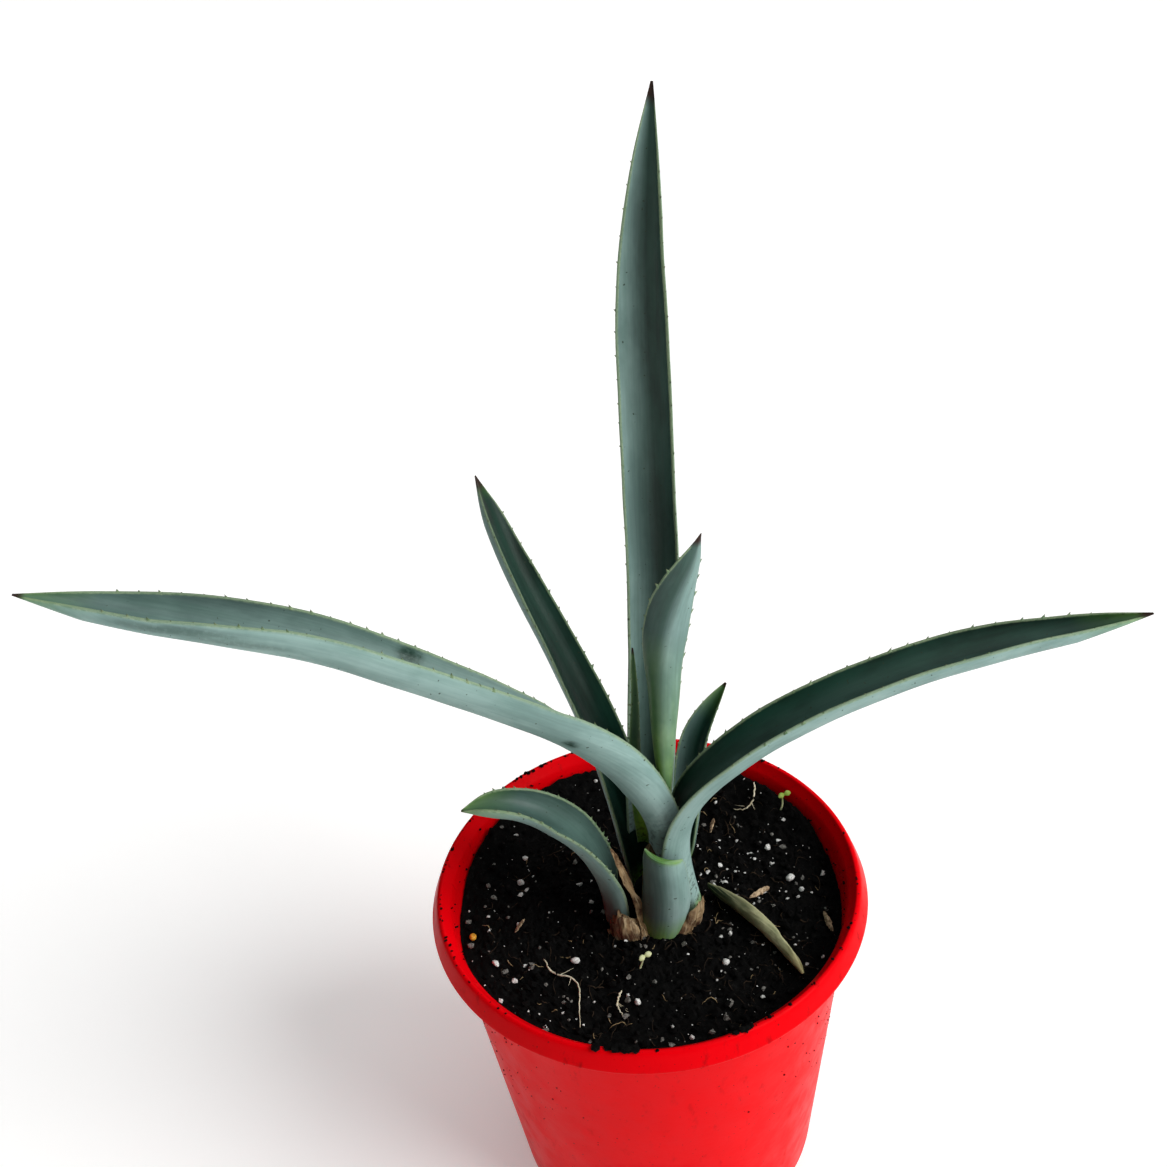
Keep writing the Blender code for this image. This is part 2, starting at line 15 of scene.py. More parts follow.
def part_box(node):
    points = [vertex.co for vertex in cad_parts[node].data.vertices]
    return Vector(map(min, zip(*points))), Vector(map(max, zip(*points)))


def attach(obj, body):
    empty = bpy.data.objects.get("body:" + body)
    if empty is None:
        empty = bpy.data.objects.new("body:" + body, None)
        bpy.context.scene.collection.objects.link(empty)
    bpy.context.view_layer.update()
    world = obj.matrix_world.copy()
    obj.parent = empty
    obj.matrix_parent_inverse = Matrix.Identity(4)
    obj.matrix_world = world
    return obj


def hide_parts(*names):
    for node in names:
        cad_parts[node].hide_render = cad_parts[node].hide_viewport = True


bl_info = {
    "name": "Potted agave",
    "version": (1, 0, 0),
    "blender": (4, 5, 0),
    "location": "3D View > Sidebar > Agave",
    "description": "Builds a young agave in a nursery pot, piece by piece",
    "category": "Add Mesh",
}

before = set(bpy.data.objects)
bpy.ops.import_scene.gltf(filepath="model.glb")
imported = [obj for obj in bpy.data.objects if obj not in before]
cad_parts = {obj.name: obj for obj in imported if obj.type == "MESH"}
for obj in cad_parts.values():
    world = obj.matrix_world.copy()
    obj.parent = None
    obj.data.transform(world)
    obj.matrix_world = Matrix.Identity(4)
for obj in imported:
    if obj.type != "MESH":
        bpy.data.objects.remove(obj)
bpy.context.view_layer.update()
MM = 0.001
POT_LOW, POT_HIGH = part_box("pot")
SOIL_LOW, SOIL_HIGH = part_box("potting_mix")

# ---- the leaves: the same midribs as the solid ones ------------------------------------
# spine: the midrib's points; azimuth: the way the leaf leans, in degrees from +X; half:
# half the flat width at STATIONS; fold: half the angle of the gutter's arc and twist: its
# roll, both spaced evenly; bloom and light: how waxy each face is, as inner -1, inner +1,
# outer -1, outer +1, where the change from -1 to +1 is painted light: one half of a face
# paler as if lit, the other darker in painted shade; pale and olive: how far the yellow
# base and the olive tip reach, as shares.
STATIONS = (0.0, 0.12, 0.3, 0.55, 0.8, 0.93, 1.0)
LEAVES = {
    "tall_leaf": dict(
        spine=[(2, 12, 130), (8, 20, 194), (12, 28, 250), (14, 34, 306), (16, 40, 360), (22, 46, 411)],
        azimuth=90, half=(8, 10, 10, 9.5, 7.6, 3.7, 0.4), fold=(74, 72, 62, 45, 50),
        twist=(-30, -12, -22, -22), thick=3.2, bloom_and_light=(0.06, 0.68, 0.8, 0.8),
        pale=0.03, olive=0.0, spine_brown=0.02, teeth=(0.22, 0.93), gap=(7.0, 7.5)),
    "left_arching_leaf": dict(
        spine=[(4.5, -2, 140), (6.5, -2, 158), (-13.5, -2, 200), (-56, 0, 229), (-100.5, 3, 252.5),
               (-144.5, 7, 266), (-188.5, 8, 282.5)],
        azimuth=180, half=(6, 8, 13.7, 13.9, 11.3, 5.1, 0.4), fold=(70, 55, 65, 84, 92, 82, 74),
        twist=(50, 64, 34, 23, 14, 2, 8), thick=3.2, bloom_and_light=(0.42, 0.42, 0.9, 0.95),
        pale=0.02, olive=0.10, spine_brown=0.012, teeth=(0.10, 0.9), gap=(3.6, 7.5),
        rubs=[(0.52, -0.8, 0, 4.8, 3.0, 1.0), (0.30, 0.35, 1, 2.6, 1.5, 1.0),
              (0.80, 0.8, 1, 22.0, 1.6, 0.5), (0.72, 0.62, 1, 16.0, 1.4, 0.45), (0.78, 0.86, 0, 20.0, 1.8, 0.5)]),
    "right_arching_leaf": dict(
        spine=[(15, -3, 124), (16.5, -3, 172), (43, -3, 199), (74, 0, 212.5), (106, 4, 219.5),
               (141, 7, 223.5), (173.5, 8, 228)],
        azimuth=0, half=(9, 10.5, 10.7, 11.2, 8.7, 3.9, 0.4), fold=(70, 64, 65, 64, 63, 72, 70),
        twist=(-30, -12, -4, -8, -9, -6, 0), thick=3.2, bloom_and_light=(0.1, 0.0, 1.0, 1.0),
        pale=0.02, olive=0.12, spine_brown=0.02, teeth=(0.25, 0.93), gap=(6.0, 8.0)),
    "back_left_leaf": dict(
        spine=[(-1, 10, 128), (-10, 22, 177), (-22, 38, 209), (-36, 54, 240), (-45, 70, 268)],
        azimuth=120, half=(7, 9, 9.5, 9, 7.4, 4.6, 0.4), fold=(70, 57, 45, 55, 36),
        twist=(-5, 20, 30, 42), thick=2.6, bloom_and_light=(0.0, 0.03, 0.75, 0.7),
        pale=0.03, olive=0.06, spine_brown=0.03, teeth=(0.2, 0.93), gap=(6.0, 6.5)),
    "young_centre_leaf": dict(
        spine=[(7.5, -2, 161), (8.7, 0, 191), (10, 2, 221), (14.6, 4, 251), (26, 6, 280.6)],
        azimuth=270, half=(3.2, 2.4, 4.2, 6.3, 7.5, 4.9, 0.4), fold=(65, 62, 55, 29, 8),
        twist=(-25, -22, -20, 9, 54), thick=2.2, bloom_and_light=(0.3, 0.3, 0.14, 0.8),
        pale=0.58, olive=0.0, spine_brown=0.03, teeth=(0.5, 0.93), gap=(6.0, 6.0)),
    "small_right_leaf": dict(
        spine=[(13, 12, 134), (19, 18, 163), (23, 24, 181), (34, 30, 198)],
        azimuth=60, half=(5, 6.5, 6.4, 6.2, 4, 1.9, 0.4), fold=(70, 64, 56, 45),
        twist=(0, -8, -6, 3), thick=2.4, bloom_and_light=(0.0, 0.35, 0.5, 0.5),
        pale=0.1, olive=0.22, spine_brown=0.02, teeth=(0.35, 0.9), gap=(4.0, 4.0)),
    "thin_back_leaf": dict(
        spine=[(1, 8.5, 146), (0, 8.5, 190), (1.5, 9.5, 212), (2, 10.5, 234)],
        azimuth=90, half=(3, 3, 2.8, 2.2, 1.4, 0.9, 0.3), fold=(50, 45, 40, 30),
        twist=(-30, -30, -30, -30), thick=1.2, bloom_and_light=(0.1, 0.2, 0.3, 0.3),
        pale=0.6, olive=0.9, spine_brown=0.03, teeth=(0.5, 0.9), gap=(5.0, 5.0)),
    "lower_left_leaf": dict(
        spine=[(-13, -4, 119), (-16, -7, 150), (-26, -9, 173), (-43, -11, 188), (-60, -12, 190)],
        azimuth=190, half=(7, 8, 9, 9, 7, 4.4, 0.4), fold=(65, 78, 74, 74, 77),
        twist=(10, -8, -24, 10), thick=2.8, bloom_and_light=(0.2, 0.14, 0.5, 0.6),
        pale=0.05, olive=0.2, spine_brown=0.01, teeth=(0.35, 0.92), gap=(3.0, 3.6)),
    "cut_leaf_stub": dict(
        spine=[(3, -13.5, 117), (5, -15, 130), (6, -15.5, 146), (6, -14.5, 164)],
        azimuth=270, half=(7.5, 9, 10, 9.3, 8, 7.3, 6.5), fold=(70, 66, 58, 48),
        twist=(0, 0, 0, 0), thick=2.6, bloom_and_light=(0.2, 0.2, 0.3, 0.85),
        pale=0.3, olive=0.0, spine_brown=0.0, teeth=None, gap=(5.0, 5.0), slant=7.0),
}
LEAF_RINGS_PER_MM = 0.75
LEAF_ACROSS = 13
MARGIN_ROUND = (0.12, 0.32, 0.5, 0.68, 0.88)

# ---- the dead leaves -------------------------------------------------------------------
DRY_LEAVES = {
    "dry_twisted_leaf": dict(
        spine=[(-3, -14.5, 119), (-5, -12.5, 138), (-8, -12, 150), (-12, -12.5, 166)],
        azimuth=200, half=(3.6, 2.6, 1.9, 1.6, 1.3, 0.9, 0.4), fold=(40, 50, 40, 50),
        twist=(-70, -60, -75, -60), thick=0.7, crumple=0.9, ragged=0.0),
    "dry_scale_left": dict(
        spine=[(-9, -12.5, 117), (-10, -13.5, 124), (-11, -12, 133)],
        azimuth=240, half=(9, 9, 8.5, 7, 4, 2.2, 0.8), fold=(55, 50, 45),
        twist=(0, 0, 0), thick=0.9, crumple=1.3, ragged=4.0),
    "dry_scale_right": dict(
        spine=[(14, -9.5, 117), (16.5, -10.5, 124), (18.5, -9.5, 133)],
        azimuth=320, half=(6, 6, 5.5, 4, 2.5, 1.5, 0.6), fold=(45, 40, 40),
        twist=(0, 0, 0), thick=0.9, crumple=1.2, ragged=3.5),
    # The outermost papers, over the solid ones, round the feet of the lower leaves.
    "outer_paper_left": dict(
        spine=[(-8, -14.5, 116), (-8.5, -15.5, 123), (-9.5, -14.5, 133)],
        azimuth=262, half=(10.5, 10.5, 10, 8, 5, 3, 1), fold=(72, 66, 60),
        twist=(0, 0, 0), thick=0.7, crumple=1.3, ragged=6.0),
    "outer_paper_right": dict(
        spine=[(10.5, -13.5, 116), (13.0, -14, 122), (17, -12.5, 133)],
        azimuth=300, half=(7, 7, 6, 4.5, 3, 1.5, 0.6), fold=(60, 50, 40),
        twist=(0, 0, 0), thick=0.7, crumple=1.2, ragged=4.0),
}
FALLEN_LEAF = dict(
    spine=[(22, 3, 125.5), (31, -8, 124.8), (41, -23, 124.2), (49, -40, 124.6)],
    azimuth=300, half=(2.6, 4.8, 6.0, 5.4, 3.8, 2.9, 0.9), fold=(70, 85, 100, 95),
    twist=(-50, -60, -70, -60), thick=1.2, crumple=0.35, ragged=0.0)

# ---- loose things: routes of the rootlets, as on the solids ------------------------------
ROOTLETS = {
    "rootlet_front": [(-39, -20), (-35, -27), (-29, -31), (-28, -42), (-28, -51)],
    "rootlet_middle": [(-13, -38), (-15, -43), (-13, -49)],
    "rootlet_right": [(45, 49), (44, 44), (41, 41), (36, 42)],
}


# ---- colour and node helpers ------------------------------------------------------------
def linear(code):
    """An sRGB hex colour as a linear RGBA tuple."""
    channels = [int(code[i:i + 2], 16) / 255 for i in (0, 2, 4)]
    bent = [c / 12.92 if c <= 0.04045 else ((c + 0.055) / 1.055) ** 2.4 for c in channels]
    return (*bent, 1.0)


def add_node(tree, kind, inputs=None, **settings):
    """Add a node; inputs maps a socket's name or number to a value or to an output."""
    node = tree.nodes.new("ShaderNode" + kind)
    for name, value in settings.items():
        setattr(node, name, value)
    for key, value in (inputs or {}).items():
        socket = node.inputs[key]
        if isinstance(value, bpy.types.NodeSocket):
            tree.links.new(value, socket)
        else:
            socket.default_value = value
    return node


def start_material(name, ior, roughness, specular=0.2):
    """A material with its shader's constant values set, ready for its pattern."""
    made = bpy.data.materials.new(name)
    made.use_nodes = True
    tree = made.node_tree
    shader = tree.nodes["Principled BSDF"]
    shader.inputs["IOR"].default_value = ior
    shader.inputs["Roughness"].default_value = roughness
    shader.inputs["Specular IOR Level"].default_value = specular
    return made, tree, shader


def place_of(tree):
    """Positions in metres, the same for every piece."""
    return add_node(tree, "TexCoord").outputs["Object"]


def pattern(tree, vector, size_mm, detail=3.0, rough=0.5, stretch=(1.0, 1.0, 1.0)):
    """Noise whose features are about size_mm across, as a 0 to 1 value."""
    scale = [s / (size_mm * MM) for s in stretch]
    moved = add_node(tree, "Mapping", {"Vector": vector, "Scale": scale})
    return add_node(tree, "TexNoise", {"Vector": moved.outputs[0], "Scale": 1.0, "Detail": detail,
                                       "Roughness": rough}).outputs["Fac"]


def ramp(tree, value, low, high, start=0.0, end=1.0):
    """Map low..high to start..end, clamped and eased."""
    return add_node(tree, "MapRange", {"Value": value, "From Min": low, "From Max": high,
                                       "To Min": start, "To Max": end},
                    interpolation_type="SMOOTHSTEP").outputs[0]


def maths(tree, operation, a, b=0.5):
    return add_node(tree, "Math", {0: a, 1: b}, operation=operation, use_clamp=False).outputs[0]


def blend(tree, factor, a, b):
    """Mix two colours, each a hex code or an output."""
    a = linear(a) if isinstance(a, str) else a
    b = linear(b) if isinstance(b, str) else b
    return add_node(tree, "Mix", {0: factor, 6: a, 7: b}, data_type="RGBA").outputs[2]


def relief(tree, shader, height, depth_mm, before=None):
    """Bump of a real depth; returns its output so that another can follow."""
    inputs = {"Height": height, "Strength": 1.0, "Distance": depth_mm * MM}
    if before:
        inputs["Normal"] = before
    bump = add_node(tree, "Bump", inputs)
    tree.links.new(bump.outputs[0], shader.inputs["Normal"])
    return bump.outputs[0]


def attribute(tree, name):
    """A vector stored on the mesh, split into its three parts."""
    source = add_node(tree, "Attribute", attribute_name=name)
    return add_node(tree, "SeparateXYZ", {0: source.outputs["Vector"]}).outputs


# ---- materials ----------------------------------------------------------------------------
def polypropylene(red):
    """Polypropylene, injection moulded: saturated, waxy sheen, faint orange peel, dusty rim."""
    made, tree, shader = start_material("moulded_polypropylene", 1.49, 0.36, 0.03)
    place = place_of(tree)
    height = add_node(tree, "SeparateXYZ", {0: place}).outputs[2]
    cloudy = pattern(tree, place, 22.0, 2.0)
    colour = blend(tree, ramp(tree, cloudy, 0.3, 0.7, 0.0, 0.2), red, "D80008")
    # Watering leaves a thin film of dried silt, thickest just under the rim.
    film = pattern(tree, place, 5.0, 6.0, 0.65, (1.0, 1.0, 0.45))
    near_rim = ramp(tree, height, 0.095, 0.134, 0.25, 0.55)
    film = maths(tree, "MULTIPLY", ramp(tree, film, 0.56, 0.76), near_rim)
    colour = blend(tree, film, colour, "6E0F10")
    grit = pattern(tree, place, 1.1, 2.0)
    speck = ramp(tree, grit, 0.71, 0.75)
    colour = blend(tree, maths(tree, "MULTIPLY", speck, 0.75), colour, "2A1512")
    tree.links.new(colour, shader.inputs["Base Color"])
    rough = ramp(tree, pattern(tree, place, 9.0, 4.0), 0.3, 0.7, 0.3, 0.44)
    rough = maths(tree, "ADD", rough, maths(tree, "MULTIPLY", film, 0.5))
    tree.links.new(rough, shader.inputs["Roughness"])
    peel = relief(tree, shader, pattern(tree, place, 2.4, 1.0), 0.05)
    relief(tree, shader, pattern(tree, place, 26.0, 1.0), 0.15, peel)
    return made


def peat_mix():
    """Moist peat with bark fines: nearly black, matt, with a few damp glints."""
    made, tree, shader = start_material("moist_peat_mix", 1.4, 0.9, 0.15)
    place = place_of(tree)
    clod = pattern(tree, place, 3.0, 6.0, 0.65)
    colour = blend(tree, ramp(tree, clod, 0.4, 0.7), "010101", "080706")
    fibre = pattern(tree, place, 0.9, 3.0, 0.6)
    colour = blend(tree, ramp(tree, fibre, 0.62, 0.76, 0.0, 0.45), colour, "1E1711")
    tree.links.new(colour, shader.inputs["Base Color"])
    damp = ramp(tree, pattern(tree, place, 1.8, 3.0), 0.55, 0.75, 0.92, 0.45)
    tree.links.new(damp, shader.inputs["Roughness"])
    coarse = relief(tree, shader, clod, 0.9)
    relief(tree, shader, pattern(tree, place, 0.5, 4.0, 0.7), 0.3, coarse)
    return made


def agave_cuticle():
    """Living agave skin: dark green under a pale bloom of wax that rubs off."""
    made, tree, shader = start_material("agave_cuticle", 1.45, 0.5, 0.22)
    coord = add_node(tree, "Attribute", attribute_name="leaf_metres").outputs["Vector"]
    wax_and_light, edge, along = attribute(tree, "leaf_skin")
    rubbed, yellow, brown = attribute(tree, "leaf_marks")
    # Veins run the leaf's length about 0.7 mm apart, and the wax is thinner along them.
    veins = pattern(tree, coord, 0.7, 2.0, 0.5, (1.0, 0.025, 1.0))
    bands = pattern(tree, coord, 3.5, 2.0, 0.5, (1.0, 0.04, 1.0))
    patch = pattern(tree, coord, 11.0, 4.0, 0.6, (1.0, 0.35, 1.0))
    freckle = pattern(tree, coord, 1.5, 3.0, 0.6)
    green = blend(tree, ramp(tree, patch, 0.35, 0.65), "091F16", "12352A")
    green = blend(tree, ramp(tree, bands, 0.35, 0.65, 0.0, 0.45), green, "183E30")
    waxy = blend(tree, ramp(tree, patch, 0.35, 0.7), "8BABA5", "9EBCB6")
    waxy = blend(tree, ramp(tree, bands, 0.42, 0.66, 0.0, 0.22), waxy, "7A9C92")
    uneven = maths(tree, "MULTIPLY", ramp(tree, veins, 0.3, 0.7, 0.91, 1.04),
                   ramp(tree, patch, 0.25, 0.7, 0.86, 1.08))
    # The wax share read from the mesh also holds painted light: more wax on the half of a face painted as lit, less
    # on the half in painted shade.
    wax_and_light_share = maths(tree, "MULTIPLY", wax_and_light, uneven)
    bare = maths(tree, "MULTIPLY", rubbed, ramp(tree, freckle, 0.3, 0.55, 0.7, 1.0))
    wax_and_light_share = maths(tree, "MULTIPLY", wax_and_light_share, maths(tree, "SUBTRACT", 1.0, bare))
    wax_and_light_share = add_node(tree, "Clamp", {0: wax_and_light_share}).outputs[0]
    colour = blend(tree, wax_and_light_share, green, waxy)
    lively = blend(tree, ramp(tree, patch, 0.35, 0.65), "4A7D22", "7BA333")
    colour = blend(tree, maths(tree, "MULTIPLY", yellow, ramp(tree, bands, 0.25, 0.6, 0.55, 1.0)),
                   colour, lively)
    rim = blend(tree, ramp(tree, freckle, 0.35, 0.6), "6E8C66", "9DB08A")
    colour = blend(tree, maths(tree, "MULTIPLY", edge, ramp(tree, patch, 0.2, 0.6, 0.35, 0.8)), colour, rim)
    fleck = ramp(tree, pattern(tree, coord, 1.3, 1.0), 0.735, 0.77, 0.0, 0.8)
    colour = blend(tree, fleck, colour, "2B3526")
    colour = blend(tree, brown, colour, "2C1A12")
    # Soil splashed on the lowest part by watering.
    splash = maths(tree, "MULTIPLY", ramp(tree, along, 0.0, 0.16, 1.0, 0.0), ramp(tree, freckle, 0.5, 0.6))
    colour = blend(tree, maths(tree, "MULTIPLY", splash, 0.8), colour, "2A1F15")
    tree.links.new(colour, shader.inputs["Base Color"])
    rough = ramp(tree, wax_and_light_share, 0.0, 0.9, 0.38, 0.6)
    rough = maths(tree, "ADD", rough, ramp(tree, freckle, 0.3, 0.7, -0.05, 0.05))
    tree.links.new(rough, shader.inputs["Roughness"])
    fine = relief(tree, shader, veins, 0.06)
    relief(tree, shader, bands, 0.18, fine)
    return made


def dead_leaf():
    """Dead leaf base, dried papery: tan fibres over brown, quite matt."""
    made, tree, shader = start_material("papery_dead_leaf", 1.45, 0.85)
    coord = add_node(tree, "Attribute", attribute_name="leaf_metres").outputs["Vector"]
    fibre = pattern(tree, coord, 0.6, 4.0, 0.6, (1.0, 0.05, 1.0))
    blotch = pattern(tree, coord, 4.5, 4.0, 0.6, (1.0, 0.6, 1.0))
    colour = blend(tree, ramp(tree, blotch, 0.38, 0.62), "4F3423", "A88E69")
    colour = blend(tree, ramp(tree, fibre, 0.5, 0.72, 0.0, 0.8), colour, "CDBB97")
    colour = blend(tree, ramp(tree, fibre, 0.42, 0.25, 0.0, 0.85), colour, "22130C")
    tree.links.new(colour, shader.inputs["Base Color"])
    relief(tree, shader, fibre, 0.35)
    return made


def wilted_leaf():
    """A wilted leaf: the wax dulled to grey olive, drying to straw at its edge."""
    made, tree, shader = start_material("wilted_agave_leaf", 1.45, 0.7)
    coord = add_node(tree, "Attribute", attribute_name="leaf_metres").outputs["Vector"]
    wax_and_light, edge, along = attribute(tree, "leaf_skin")
    fibre = pattern(tree, coord, 0.8, 3.0, 0.6, (1.0, 0.04, 1.0))
    blotch = pattern(tree, coord, 5.0, 4.0, 0.6, (1.0, 0.5, 1.0))
    colour = blend(tree, ramp(tree, blotch, 0.35, 0.65), "6E7855", "B0B088")
    # Darker green towards the base, where the leaf lies folded under the crown: partly the leaf's own green, partly
    # painted shade.
    colour = blend(tree, ramp(tree, along, 0.05, 0.55, 1.0, 0.0), colour, "22301F")
    colour = blend(tree, ramp(tree, fibre, 0.5, 0.72, 0.0, 0.5), colour, "C2BD93")
    colour = blend(tree, ramp(tree, along, 0.72, 1.0, 0.0, 0.8), colour, "BDB07C")
    colour = blend(tree, maths(tree, "MULTIPLY", edge, 0.6), colour, "B9B58A")
    tree.links.new(colour, shader.inputs["Base Color"])
    relief(tree, shader, fibre, 0.25)
    return made


def simple_natural(name, ior, roughness, dark, light, size_mm, depth_mm, stretch=(1.0, 1.0, 1.0)):
    """A two-tone natural surface: bark, root, perlite, fibre."""
    made, tree, shader = start_material(name, ior, roughness)
    place = place_of(tree)
    grain = pattern(tree, place, size_mm, 5.0, 0.65, stretch)
    tree.links.new(blend(tree, ramp(tree, grain, 0.35, 0.65), dark, light), shader.inputs["Base Color"])
    rough = ramp(tree, grain, 0.3, 0.7, roughness - 0.08, min(1.0, roughness + 0.06))
    tree.links.new(rough, shader.inputs["Roughness"])
    relief(tree, shader, grain, depth_mm)
    return made


def resin_prill():
    """A coated fertiliser prill: amber resin, glossy, slightly see-through."""
    made, tree, shader = start_material("resin_coated_prill", 1.5, 0.25)
    shader.inputs["Subsurface Weight"].default_value = 0.3
    shader.inputs["Subsurface Scale"].default_value = 0.001
    place = place_of(tree)
    cloud = pattern(tree, place, 1.2, 3.0)
    tree.links.new(blend(tree, ramp(tree, cloud, 0.35, 0.65), "B5771B", "DDA53A"), shader.inputs["Base Color"])
    relief(tree, shader, cloud, 0.08)
    return made


def seedling_tissue():
    """Fresh seedling: a pale stalk that greens towards its seed leaves."""
    made, tree, shader = start_material("seedling_tissue", 1.4, 0.5)
    place = place_of(tree)
    height = add_node(tree, "SeparateXYZ", {0: place}).outputs[2]
    low = SOIL_HIGH[2] - 1.0 * MM
    colour = blend(tree, ramp(tree, height, low, low + 5 * MM), "C8CBA0", "7F9A3A")
    mottle = pattern(tree, place, 1.5, 3.0)
    colour = blend(tree, ramp(tree, mottle, 0.4, 0.7, 0.0, 0.5), colour, "A9B56A")
    tree.links.new(colour, shader.inputs["Base Color"])
    relief(tree, shader, mottle, 0.1)
    return made


# ---- mesh helpers ---------------------------------------------------------------------------
def make_piece(name, verts, faces, material, vectors=None, sharp=180.0):
    """A mesh object that rides on the part and stored vectors."""
    mesh = bpy.data.meshes.new(name)
    mesh.from_pydata(np.asarray(verts).tolist(), [], faces)
    mesh.validate()
    for key, values in (vectors or {}).items():
        stored = mesh.attributes.new(key, "FLOAT_VECTOR", "POINT")
        stored.data.foreach_set("vector", np.asarray(values, np.float32).ravel())
    bm = bmesh.new()
    bm.from_mesh(mesh)
    bmesh.ops.recalc_face_normals(bm, faces=bm.faces)
    bm.to_mesh(mesh)
    bm.free()
    mesh.shade_smooth()
    if sharp < 180.0:
        mesh.set_sharp_from_angle(angle=math.radians(sharp))
    mesh.materials.append(material)
    piece = bpy.data.objects.new(name, mesh)
    bpy.context.scene.collection.objects.link(piece)
    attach(piece, "root")
    return piece


def join_shapes(shapes):
    """Put (verts, faces) shapes one after another in one mesh's lists."""
    verts = []
    faces = []
    start = 0
    for points, polygons in shapes:
        verts.append(np.asarray(points, float))
        faces.extend(tuple(i + start for i in polygon) for polygon in polygons)
        start += len(points)
    return np.concatenate(verts), faces


def loft_faces(rings, size, closed_ends=True):
    """Faces of a tube of rings, each of the same size."""
    faces = []
    for i in range(rings - 1):
        for k in range(size):
            n = (k + 1) % size
            faces.append((i * size + k, i * size + n, (i + 1) * size + n, (i + 1) * size + k))
    if closed_ends:
        faces.append(tuple(range(size))[::-1])
        faces.append(tuple((rings - 1) * size + k for k in range(size)))
    return faces


def cubic_through(points, count):
    """Points of a natural cubic spline through the given points, evenly spaced along it."""
    knots = np.asarray(points, float)
    chord = np.linalg.norm(np.diff(knots, axis=0), axis=1)
    at = np.concatenate([[0.0], np.cumsum(chord)])
    n = len(knots)
    system = np.eye(n)
    right = np.zeros_like(knots)
    for i in range(1, n - 1):
        system[i, i - 1:i + 2] = chord[i - 1], 2 * (chord[i - 1] + chord[i]), chord[i]
        slope_out = (knots[i + 1] - knots[i]) / chord[i]
        slope_in = (knots[i] - knots[i - 1]) / chord[i - 1]
        right[i] = 6 * (slope_out - slope_in)
    bend = np.linalg.solve(system, right)
    fine = np.linspace(0.0, at[-1], 40 * n)
    k = np.clip(np.searchsorted(at, fine, side="right") - 1, 0, n - 2)
    h = chord[k][:, None]
    a = (at[k + 1] - fine)[:, None]
    b = (fine - at[k])[:, None]
    curve = (bend[k] * a ** 3 + bend[k + 1] * b ** 3) / (6 * h)
    curve += (knots[k] / h - bend[k] * h / 6) * a + (knots[k + 1] / h - bend[k + 1] * h / 6) * b
    run = np.concatenate([[0.0], np.cumsum(np.linalg.norm(np.diff(curve, axis=0), axis=1))])
    even = np.linspace(0.0, run[-1], count)
    return np.stack([np.interp(even, run, curve[:, axis]) for axis in range(3)], axis=1)


def eased(t, stations, values):
    """Interpolate values at every t with a smooth ease between neighbours."""
    t = np.asarray(t, float)
    stations = np.asarray(stations, float)
    values = np.asarray(values, float)
    slopes = np.gradient(values, stations)
    k = np.clip(np.searchsorted(stations, t, side="right") - 1, 0, len(stations) - 2)
    h = stations[k + 1] - stations[k]
    s = (t - stations[k]) / h
    curve = values[k] + (values[k + 1] - values[k]) * (3 * s * s - 2 * s ** 3)
    curve += h * (slopes[k] * s * (1 - s) ** 2 - slopes[k + 1] * s * s * (1 - s))
    return np.clip(curve, np.minimum(values[k], values[k + 1]), np.maximum(values[k], values[k + 1]))


def spaced(t, values):
    """Interpolate a list spaced evenly from 0 to 1."""
    return np.interp(t, np.linspace(0.0, 1.0, len(values)), values)


def unit(vectors):
    return vectors / np.maximum(np.linalg.norm(vectors, axis=-1, keepdims=True), 1e-12)


def tube(path, radii, sides, flat=1.0):
    """A closed tube along a path in metres, its section flattened by a share."""
    path = np.asarray(path, float)
    tangents = unit(np.gradient(path, axis=0))
    side = Vector(tangents[0]).orthogonal().normalized()
    points = []
    for place, tangent, radius in zip(path, tangents, radii):
        along = Vector(tangent)
        side = (side - along * side.dot(along)).normalized()
        up = along.cross(side)
        for k in range(sides):
            turn = 2 * math.pi * k / sides
            spoke = side * math.cos(turn) + up * (flat * math.sin(turn))
            points.append(Vector(place) + spoke * radius)
    return np.array(points), loft_faces(len(path), sides)


# ---- leaf geometry ----------------------------------------------------------------------------
class LeafFrame:
    """The midrib of a leaf with its directions, widths and folds at every ring."""

    def __init__(self, spec, rings):
        self.spec = spec
        self.share = np.linspace(0.0, 1.0, rings)
        self.spine = cubic_through(spec["spine"], rings)
        self.length = np.linalg.norm(np.diff(self.spine, axis=0), axis=1).sum()
        self.along = unit(np.gradient(self.spine, axis=0))
        lean = math.radians(spec["azimuth"])
        across = np.array([-math.sin(lean), math.cos(lean), 0.0])
        up = unit(np.cross(self.along, across))
        side = np.cross(up, self.along)
        roll = np.radians(spaced(self.share, spec["twist"]))[:, None]
        self.side = side * np.cos(roll) + up * np.sin(roll)
        self.up = up * np.cos(roll) - side * np.sin(roll)
        self.half = np.maximum(eased(self.share, STATIONS, spec["half"]), 0.25)
        self.fold = np.maximum(np.radians(spaced(self.share, spec["fold"])), 0.02)

    def surface(self, u, depth_share, push=0.0):
        """Points at an across share u from -1 to 1, 0 on the inner face to 1 on the outer."""
        angle = self.fold * u
        radius = self.half / self.fold
        normal = -self.side * np.sin(angle)[:, None] + self.up * np.cos(angle)[:, None]
        outward = (self.side * np.cos(angle)[:, None] + self.up * np.sin(angle)[:, None]) * np.sign(u)
        middle = self.spine + self.side * (radius * np.sin(angle))[:, None]
        middle = middle + self.up * (radius * (1 - np.cos(angle)))[:, None]
        depth = self.thickness(u) * depth_share
        return middle - normal * depth[:, None] + outward * (self.thickness(u) * push)[:, None]

    def thickness(self, u):
        """Thick along the midrib, thin at the margins."""
        return self.spec["thick"] * np.minimum(1.0, self.half / 6.0) * (1 - 0.7 * abs(u) ** 2)

    def margin(self, share, sign):
        """A place on the margin with its outward, forward and upward directions."""
        def read(values):
            return np.array([np.interp(share, self.share, values[:, axis]) for axis in range(3)])
        edge = self.surface(float(sign), 0.5)
        angle = self.fold * sign
        outward = (self.side * np.cos(angle)[:, None] + self.up * np.sin(angle)[:, None]) * sign
        return read(edge), unit(read(outward)), unit(read(self.along))


